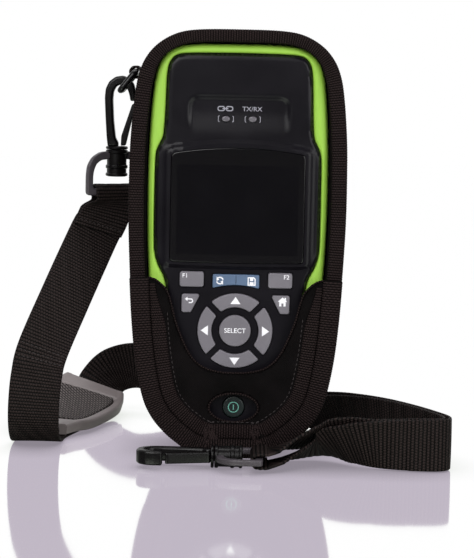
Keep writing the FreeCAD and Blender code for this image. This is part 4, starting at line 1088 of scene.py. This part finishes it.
# ----------------------------------------
# Strap: one-inch nylon webbing. The left run drops from the upper loop, lies under the
# shoulder pad and arches behind the holster; from the adjuster it runs doubled to the right
# and back to the lower loop. Stations are (x, y, z, width direction) along its middle.
# Dark and light are the painted shade of the rib valleys and the painted highlight of the rib tops.
TWILL = material("webbing_twill", "0a0808", 0.6, kind=WEAVE, bump=0.0005, dark="010101", light="2c2423",
                 gloss=0.08, Pitch=0.0016, Lean=0.0)
STRAP_HALF, STRAP_THICK, BACK_GAP = 12.7, 1.4, 1.5
STITCH = (-69, 17, 112)
STITCH_W = (0.92, 0.25, -0.3)
DOWN = (-0.42, -0.25, -0.87)
LONG_RUN = [(-69.45, 17.78, 112) + STITCH_W, (-73.4, 14, 104, 0.92, 0.15, -0.38),
            (-85, -4, 75.8, 0.92, 0.05, -0.39), (-95, -17, 50.5, 0.91, 0, -0.41),
            (-97.8, -19.5, 37.6, 0.97, 0, -0.2), (-99, -19.5, 25, 1, 0, 0),
            (-99.5, -15.5, 13, 1, 0, 0), (-99.5, -7, 4.6, 1, 0, 0), (-99, 3, 1.5, 1, 0, 0),
            (-98, 14, 1.1, 0.99, -0.1, 0), (-93, 36, 1.4, 0.97, -0.2, -0.04),
            (-85, 66, 3.8, 0.95, -0.22, -0.12), (-79, 90, 7.6, 0.93, -0.22, -0.26),
            (-76, 101, 10.4, 0.93, -0.22, -0.31), (-73.5, 106, 15.5, 0.8, -0.2, -0.55),
            (-66.5, 107, 22, 0.6, -0.1, -0.79), (-55, 103, 25.5, 0.15, 0, -0.99),
            (-42, 97, 24, 0.05, 0, -1), (-28, 90, 20, 0.12, 0.1, -0.98),
            (-5, 77, 15.6, 0.2, 0.28, -0.93), (20, 61, 13.2, 0.3, 0.45, -0.84),
            (44, 43, 12.4, 0.38, 0.44, -0.8), (62, 25, 13.0, 0.25, 0.25, -0.94),
            (77, 5, 13.4, 0.08, 0.05, -1), (89, -14, 13.3, 0, 0, -1),
            (99.5, -34, 13.3, 0, 0, -1), (103.2, -43.5, 13.3, 0, 0, -1),
            (102.6, -50, 13.3, 0, 0, -1), (97.5, -53.2, 13.3, 0, 0, -1),
            (85, -53.4, 13.3, 0, 0.1, -1)]
FRONT_OUTER = [(85, -54.9, 13.3, 0, 0.1, -1), (68, -54.4, 13.0, 0, 0.34, -0.94),
               (55, -48.5, 11.6, 0, 0.62, -0.78), (43, -41.5, 9.6, 0, 0.84, -0.55),
               (30, -45, 5.9, 0, 0.96, -0.27), (17, -53, 2.5, 0, 1, 0)]
FRONT_INNER = [(85, -51.9, 13.3, 0, 0.1, -1), (68, -51.2, 13.6, 0, 0.32, -0.94),
               (55, -45.4, 15.0, 0, 0.6, -0.8), (43, -42.5, 14.8, 0, 0.8, -0.6),
               (30, -47, 12.4, 0, 0.93, -0.36), (17, -53, 8.9, 0, 1, 0)]
fold_u = np.array([math.cos(math.radians(30)), math.sin(math.radians(30)), 0])
fold_v = np.array([-fold_u[1], fold_u[0], 0])
bar = np.array([-62, 21, 127.5])
stitch = np.array(STITCH, float)


def fold_leg(side):
    """Stations of one leg of the fold, from the stitches up and round the loop's bar."""
    rows = [tuple(stitch + fold_v * 0.9 * side) + STITCH_W,
            tuple(stitch * 0.6 + bar * 0.4 + fold_v * 1.5 * side) + (0.9, 0.34, -0.2),
            tuple(bar + fold_v * 2.8 * side + [0, 0, -4.4]) + tuple(fold_u),
            tuple(bar + fold_v * 3.0 * side + [0, 0, -1.6]) + tuple(fold_u)]
    for a in (0, 30, 60):
        a = math.radians(a)
        rows.append(tuple(bar + fold_v * 3 * math.cos(a) * side + [0, 0, 3 * math.sin(a)]) + tuple(fold_u))
    return rows


tail = [tuple(stitch - fold_v * 0.95 + np.array(DOWN) * 5.0) + STITCH_W]
crest = [tuple(bar + [0, 0, 3.0]) + tuple(fold_u)]
fold_rows = rows_of(tail + fold_leg(-1) + crest + fold_leg(1)[::-1], 12, level=True)
long_rows = rows_of(LONG_RUN, 12, DOWN, (-1, 0, 0))
split = 17 * 12
left_rows = np.vstack([fold_rows[:-6], long_rows[3:split + 1]])
joint = len(fold_rows) - 6
part = left_rows[joint - 26:joint + 27]
for _ in range(30):
    part[1:-1, 6:9] = 0.25 * part[:-2, 6:9] + 0.5 * part[1:-1, 6:9] + 0.25 * part[2:, 6:9]
left_rows[:, 6:9] = unit(left_rows[:, 6:9])
left_rows[:, 9:12] = unit(np.cross(left_rows[:, 3:6], left_rows[:, 6:9]))
left, left_length = ribbon("left_web", left_rows, STRAP_HALF, STRAP_THICK, TWILL, rib=0.2, pitch=1.8,
                           twill=0.25, wave=0.25, slot="webbing",
                           nodes=["strap_upper_fold", "strap_left", "strap_pad_run", "strap_arch"])


def layer(rows, shift):
    """Rows moved along their normals."""
    rows = rows.copy()
    rows[:, :3] += rows[:, 9:12] * shift
    return rows


bar_low = np.array([12.5, -53, 5.65])
turn_line = [arc(bar_low[0], bar_low[2], 3.15, a, a, 1)[0] for a in (270, 240, 210, 180, 150, 120, 90)]
turn_rows = [(x, -53, z, 0, 1, 0) for x, z in [(17, 2.5), (15, 2.5), *turn_line, (15, 8.85), (17, 8.9)]]
turn = rows_of(turn_rows, 5, (-1, 0, 0), (1, 0, 0))
outer_rows, inner_rows = (
    np.vstack([layer(long_rows[split:], gap), rows_of(front, 12, (-1, 0, 0), (-1, 0, 0))[1:]])
    for gap, front in ((BACK_GAP, FRONT_OUTER), (-BACK_GAP, FRONT_INNER)))
(outer, outer_length), (inner, inner_length) = (
    ribbon(layer_name + "_web", rows, STRAP_HALF, STRAP_THICK, WEBBING, rib=0.24, wave=0.2, slot="webbing",
           nodes=[f"strap_{part}_{layer_name}" for part in ("back", "bend", "front")])
    for layer_name, rows in (("outer", outer_rows), ("inner", inner_rows)))
bend, bend_length = ribbon("lower_fold_web", turn, STRAP_HALF, STRAP_THICK, WEBBING, rib=0.24,
                           nodes=["strap_lower_fold"], slot="webbing")


def cross_seam(name, rows, at, side=1):
    """Line of stitches across a band at row index at, on one face."""
    c = rows[at]
    line = [c[:3] + c[6:9] * u + c[9:12] * side * 0.8 for u in np.linspace(-11.6, 11.6, 40)]
    return stitches(name, line, 1.5, 0.8, 0.24, slot="webbing")


cross_seam("seam_top", fold_rows, 8, -1)
for letter, row in (("a", 36), ("b", 38), ("c", 40)):
    cross_seam("seam_crease_" + letter, long_rows, row)

# ----------------------------------------
# Adjuster: moulded nylon frame behind the holster, where the strap runs in two layers. Drawn as a
# rounded frame round one opening, without the middle bar that lies between the layers and holds them by
# friction.
slide_rows = rows_of(LONG_RUN[17:22], 3)
c = slide_rows[4]
axes = np.stack([c[3:6], c[9:12], c[6:9]])


def slide_place(p):
    """From the frame's own axes to the strap's row."""
    return p @ axes + c[:3]


plate("adjuster_frame", soften(rect(-8, 8, -16.5, 16.5, 2.0), 2, 0.5),
      [soften(rect(-5.4, 5.4, -13.5, 13.5, 1.0), 2, 0.5)], 2.6, 0.9, slide_place, HOOK,
      nodes=["adjuster_slide"], slot="hook_plastic")

# ----------------------------------------
# Shoulder pad: moulded rubber rim with a groove and a narrow neck, knitted panel over foam.
# Section across: rolled edge, flat rim, groove, then the panel, crowned 0.6 mm.
PAD = material("pad_rubber", "857c7c", 0.45, kind=GRAIN, bump=0.00004, dark="7b7272", light="8f8686")
FOAM = material("pad_foam", "3a3536", 0.8, kind=GRAIN)
# Dark and light are painted shade in the knit's hollows and painted highlight on its strands.
KNIT = material("pad_knit", "383332", 0.75, kind=WEAVE, bump=0.0005, dark="0f0d0d", light="756d6c",
                gloss=0.15, Pitch=0.0024, Lean=1.0, Thread=0.0024)
PAD_LINE = [(-98.3, 15, 5.2, 0.99, -0.1, 0, 13.6), (-96.3, 26, 5.6, 0.98, -0.14, -0.02, 17.0),
            (-93, 39, 6.2, 0.97, -0.2, -0.05, 21.6), (-85, 67, 8.6, 0.95, -0.22, -0.13, 22.6),
            (-80.5, 85, 11.4, 0.93, -0.22, -0.24, 21.0), (-77.3, 97, 14.2, 0.93, -0.22, -0.3, 17.6)]
pad_half = catmull(PAD_LINE, 16)[:, 6]
pad_rows = rows_of([row[:6] for row in PAD_LINE], 16)
pad_run = arc_length(pad_rows[:, :3])


def pad_part(name, lo, hi, profile, mat, nodes, slot):
    """Closed band on the pad's line from row lo to hi; profile gives (u, height) rows for a
    half width, counted from the top face's left edge round to the bottom."""
    pts, uv = [], []
    for f, half, run in list(zip(pad_rows, pad_half, pad_run))[lo:hi + 1]:
        u, h = np.array(profile(half, run)).T[:, :, None]
        pts.append(f[:3] + f[6:9] * u - f[9:12] * h)
        uv.append(np.hstack([u, np.full_like(u, run)]) * MM)
    faces = grid_faces(len(pts), len(u), wrap_v=True) + end_caps(len(pts), len(u))
    return fix_normals(add_mesh(name, np.concatenate(pts), faces, mat, nodes=nodes, slot=slot,
                                uv=np.concatenate(uv)))


def rim_profile(half, s):
    """Rolled rim 4.8 wide and a floor 2.2 below it; solid across at both ends."""
    solid = 1 - smoothstep(min((s - 14) / 2.5, (76 - s) / 4.0))
    floor = 2.6 - 2.4 * (1 - solid)
    neck = 0.35 * abs(math.sin(s * 1.35)) * smoothstep((13 - s) / 5)
    top = []
    for a in np.linspace(0, math.pi / 2, 6):
        top.append((-half + 1.8 * (1 - math.cos(a)), 1.0 + 1.8 * math.sin(a) - neck * (a > 1)))
    top += [(-half + 3.2, 2.8 - neck), (-half + 4.2, 2.6 - neck), (-half + 4.9, floor), (-half + 5.4, floor)]
    mid = [(u, floor) for u in np.linspace(-half + 5.6, half - 5.6, 9)]
    upper = top + mid + [(-u, h) for u, h in top[::-1]]
    lower = [(half - 0.3, -2.4), (half - 1.0, -2.8), (-half + 1.0, -2.8), (-half + 0.3, -2.4)]
    return upper + lower


pad_part("pad_rim", 0, len(pad_rows) - 1, rim_profile, PAD, ["pad_frame"], "pad_rubber")


def knit_profile(half, s):
    """Knitted cover: flat foot, edges turned down, weave ridges run diagonally."""
    inner = half - 5.2
    out = []
    for u in np.linspace(-inner, inner, 46):
        edge = min((inner - abs(u)) / 1.6, 1)
        ridge = 0.22 * abs(math.sin((s + u) * 1.25)) + 0.1 * abs(math.sin((s - u) * 2.3))
        swell = (1.5 + ridge) * math.sqrt(max(1 - (1 - edge) ** 2, 0))
        out.append((u, 0.9 + swell + 0.3 * (1 - (u / inner) ** 2)))
    return out + [(inner, 0.4), (-inner, 0.4)]


lo_row, hi_row = (int(np.argmin(np.abs(pad_run - end))) for end in (17, 73))
knit = pad_part("pad_knit_panel", lo_row, hi_row, knit_profile, KNIT, ["pad_mesh"], "pad_knit")


def foam_profile(half, s):
    """Foam slab, crowned by 0.2 on top."""
    inner = half - 5.4
    return [(-inner, 0.7), (0, 0.9), (inner, 0.7), (inner, -1.9), (0, -2.0), (-inner, -1.9)]


foam = pad_part("pad_foam_core", lo_row, hi_row, foam_profile, FOAM, ["pad_cushion"], "pad_foam")

# ----------------------------------------
# Inside and behind: back shell and battery door of the front's ABS, board, silicone mat,
# wrapped cells, steel screws, moulded jacks and a pressed cage. They keep their solids.
BOARD = material("board", "1d5a34", 0.5, kind=GRAIN, bump=0.00003)
SILICONE = material("keypad_silicone", "19191d", 0.6, kind=GRAIN)
BATTERY = material("battery_wrap", "2b3c5a", 0.4, kind=GRAIN)
STEEL = material("screw_steel", "8e8e92", 0.3, metal=1.0, kind=GRAIN)
CAGE = material("cage_steel", "b9bac0", 0.28, metal=1.0, kind=GRAIN)
PLAIN = {"back_shell": (SHELL, "shell_black"), "main_board": (BOARD, "board"),
         "keypad_mat": (SILICONE, "keypad_silicone"), "battery_pack": (BATTERY, "battery_wrap"),
         "battery_door": (SHELL, "shell_black"), "case_screws": (STEEL, "screw_steel"),
         "lan_jack": (JACK, "jack_black"), "wiremap_jack": (JACK, "jack_black"),
         "fiber_cage": (CAGE, "cage_steel"), "power_jack": (JACK, "jack_black")}
for node, (look, place_slot) in PLAIN.items():
    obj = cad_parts[node]
    obj.data.materials.clear()
    obj.data.materials.append(look)

# ----------------------------------------
# Studio: glossy white table, white surroundings, large soft lights. Not part of the object.
world = bpy.data.worlds.new("studio")
bpy.context.scene.world = world
world.use_nodes = True
world.node_tree.nodes.clear()
t = Tree(world.node_tree)
path = t.node("LightPath")
ahead = t.node("SeparateXYZ", i0=t.node("TexCoord").outputs["Generated"]).outputs[1]
rear = t.node("MapRange", i0=ahead, i1=-0.1, i2=0.25, i3=0.05, i4=1.0).outputs[0]
around = t.node("MapRange", i0=path.outputs["Is Glossy Ray"], i1=0.0, i2=1.0, i3=0.16,
                i4=0.0).outputs[0]
glossy = t.math("MULTIPLY", path.outputs["Is Glossy Ray"], rear)
strength = t.math("MAXIMUM", path.outputs["Is Camera Ray"], t.math("ADD", around, glossy))
bg = t.node("Background", Color=(1, 1, 1, 1), Strength=strength)
world.node_tree.links.new(bg.outputs[0], t.node("OutputWorld").inputs[0])

table = bpy.data.meshes.new("floor")
table.from_pydata([(-3, -3, 0), (3, -3, 0), (3, 3, 0), (-3, 3, 0)], [], [(0, 1, 2, 3)])
floor = bpy.data.objects.new("floor", table)
bpy.context.scene.collection.objects.link(floor)
floor_mat = bpy.data.materials.new("floor_gloss")
floor_mat.use_nodes = True
floor_mat.node_tree.nodes.clear()
t = Tree(floor_mat.node_tree)
# The table's glow is dimmed near the object by ambient occlusion: a painted contact shadow.
ao = t.node("AmbientOcclusion", Distance=0.03).outputs["AO"]
contact_shadow = t.node("MapRange", i0=ao, i1=0.2, i2=0.95, i3=0.5, i4=1.0).outputs[0]
camera_ray = t.node("LightPath").outputs["Is Camera Ray"]
seen = t.node("MapRange", i0=camera_ray, i1=0.0, i2=1.0, i3=0.22, i4=1.0).outputs[0]
glow = t.node("Emission", Color=(0.52, 0.47, 0.55, 1), Strength=t.math("MULTIPLY", contact_shadow, seen))
shine = t.node("BsdfGlossy", Color=(0.48, 0.53, 0.45, 1), Roughness=0.06)
mixed = t.node("AddShader", i0=glow.outputs[0], i1=shine.outputs[0])
floor_mat.node_tree.links.new(mixed.outputs[0], t.node("OutputMaterial").inputs[0])
table.materials.append(floor_mat)


def soft_light(name, at, width, height, power):
    """Area light of the given size that faces the object."""
    data = bpy.data.lights.new(name, "AREA")
    data.shape = "RECTANGLE"
    data.size, data.size_y, data.energy = width, height, power
    obj = bpy.data.objects.new(name, data)
    obj.location = at
    obj.rotation_euler = (Vector((0, 0, 0.1)) - Vector(at)).to_track_quat("-Z", "Y").to_euler()
    bpy.context.scene.collection.objects.link(obj)


soft_light("key_light", (-0.45, -1.1, 0.75), 0.8, 0.8, 14)
soft_light("fill_light", (0.75, -0.95, 0.45), 0.6, 0.8, 8)
soft_light("top_light", (0.0, 0.1, 1.1), 0.9, 0.5, 5)

camera = bpy.data.objects.new("camera", bpy.data.cameras.new("camera"))
camera.data.lens = 132.4
camera.data.sensor_width = 36
camera.location = (0, -1.025, 0.195)
toward = (Vector((0.0005, -0.025, 0.0885)) - camera.location).to_track_quat("-Z", "Y")
camera.rotation_euler = (toward @ Quaternion((0, 0, 1), math.radians(1.2))).to_euler()
bpy.context.scene.collection.objects.link(camera)
bpy.context.scene.camera = camera
bpy.context.scene.view_settings.view_transform = "Standard"
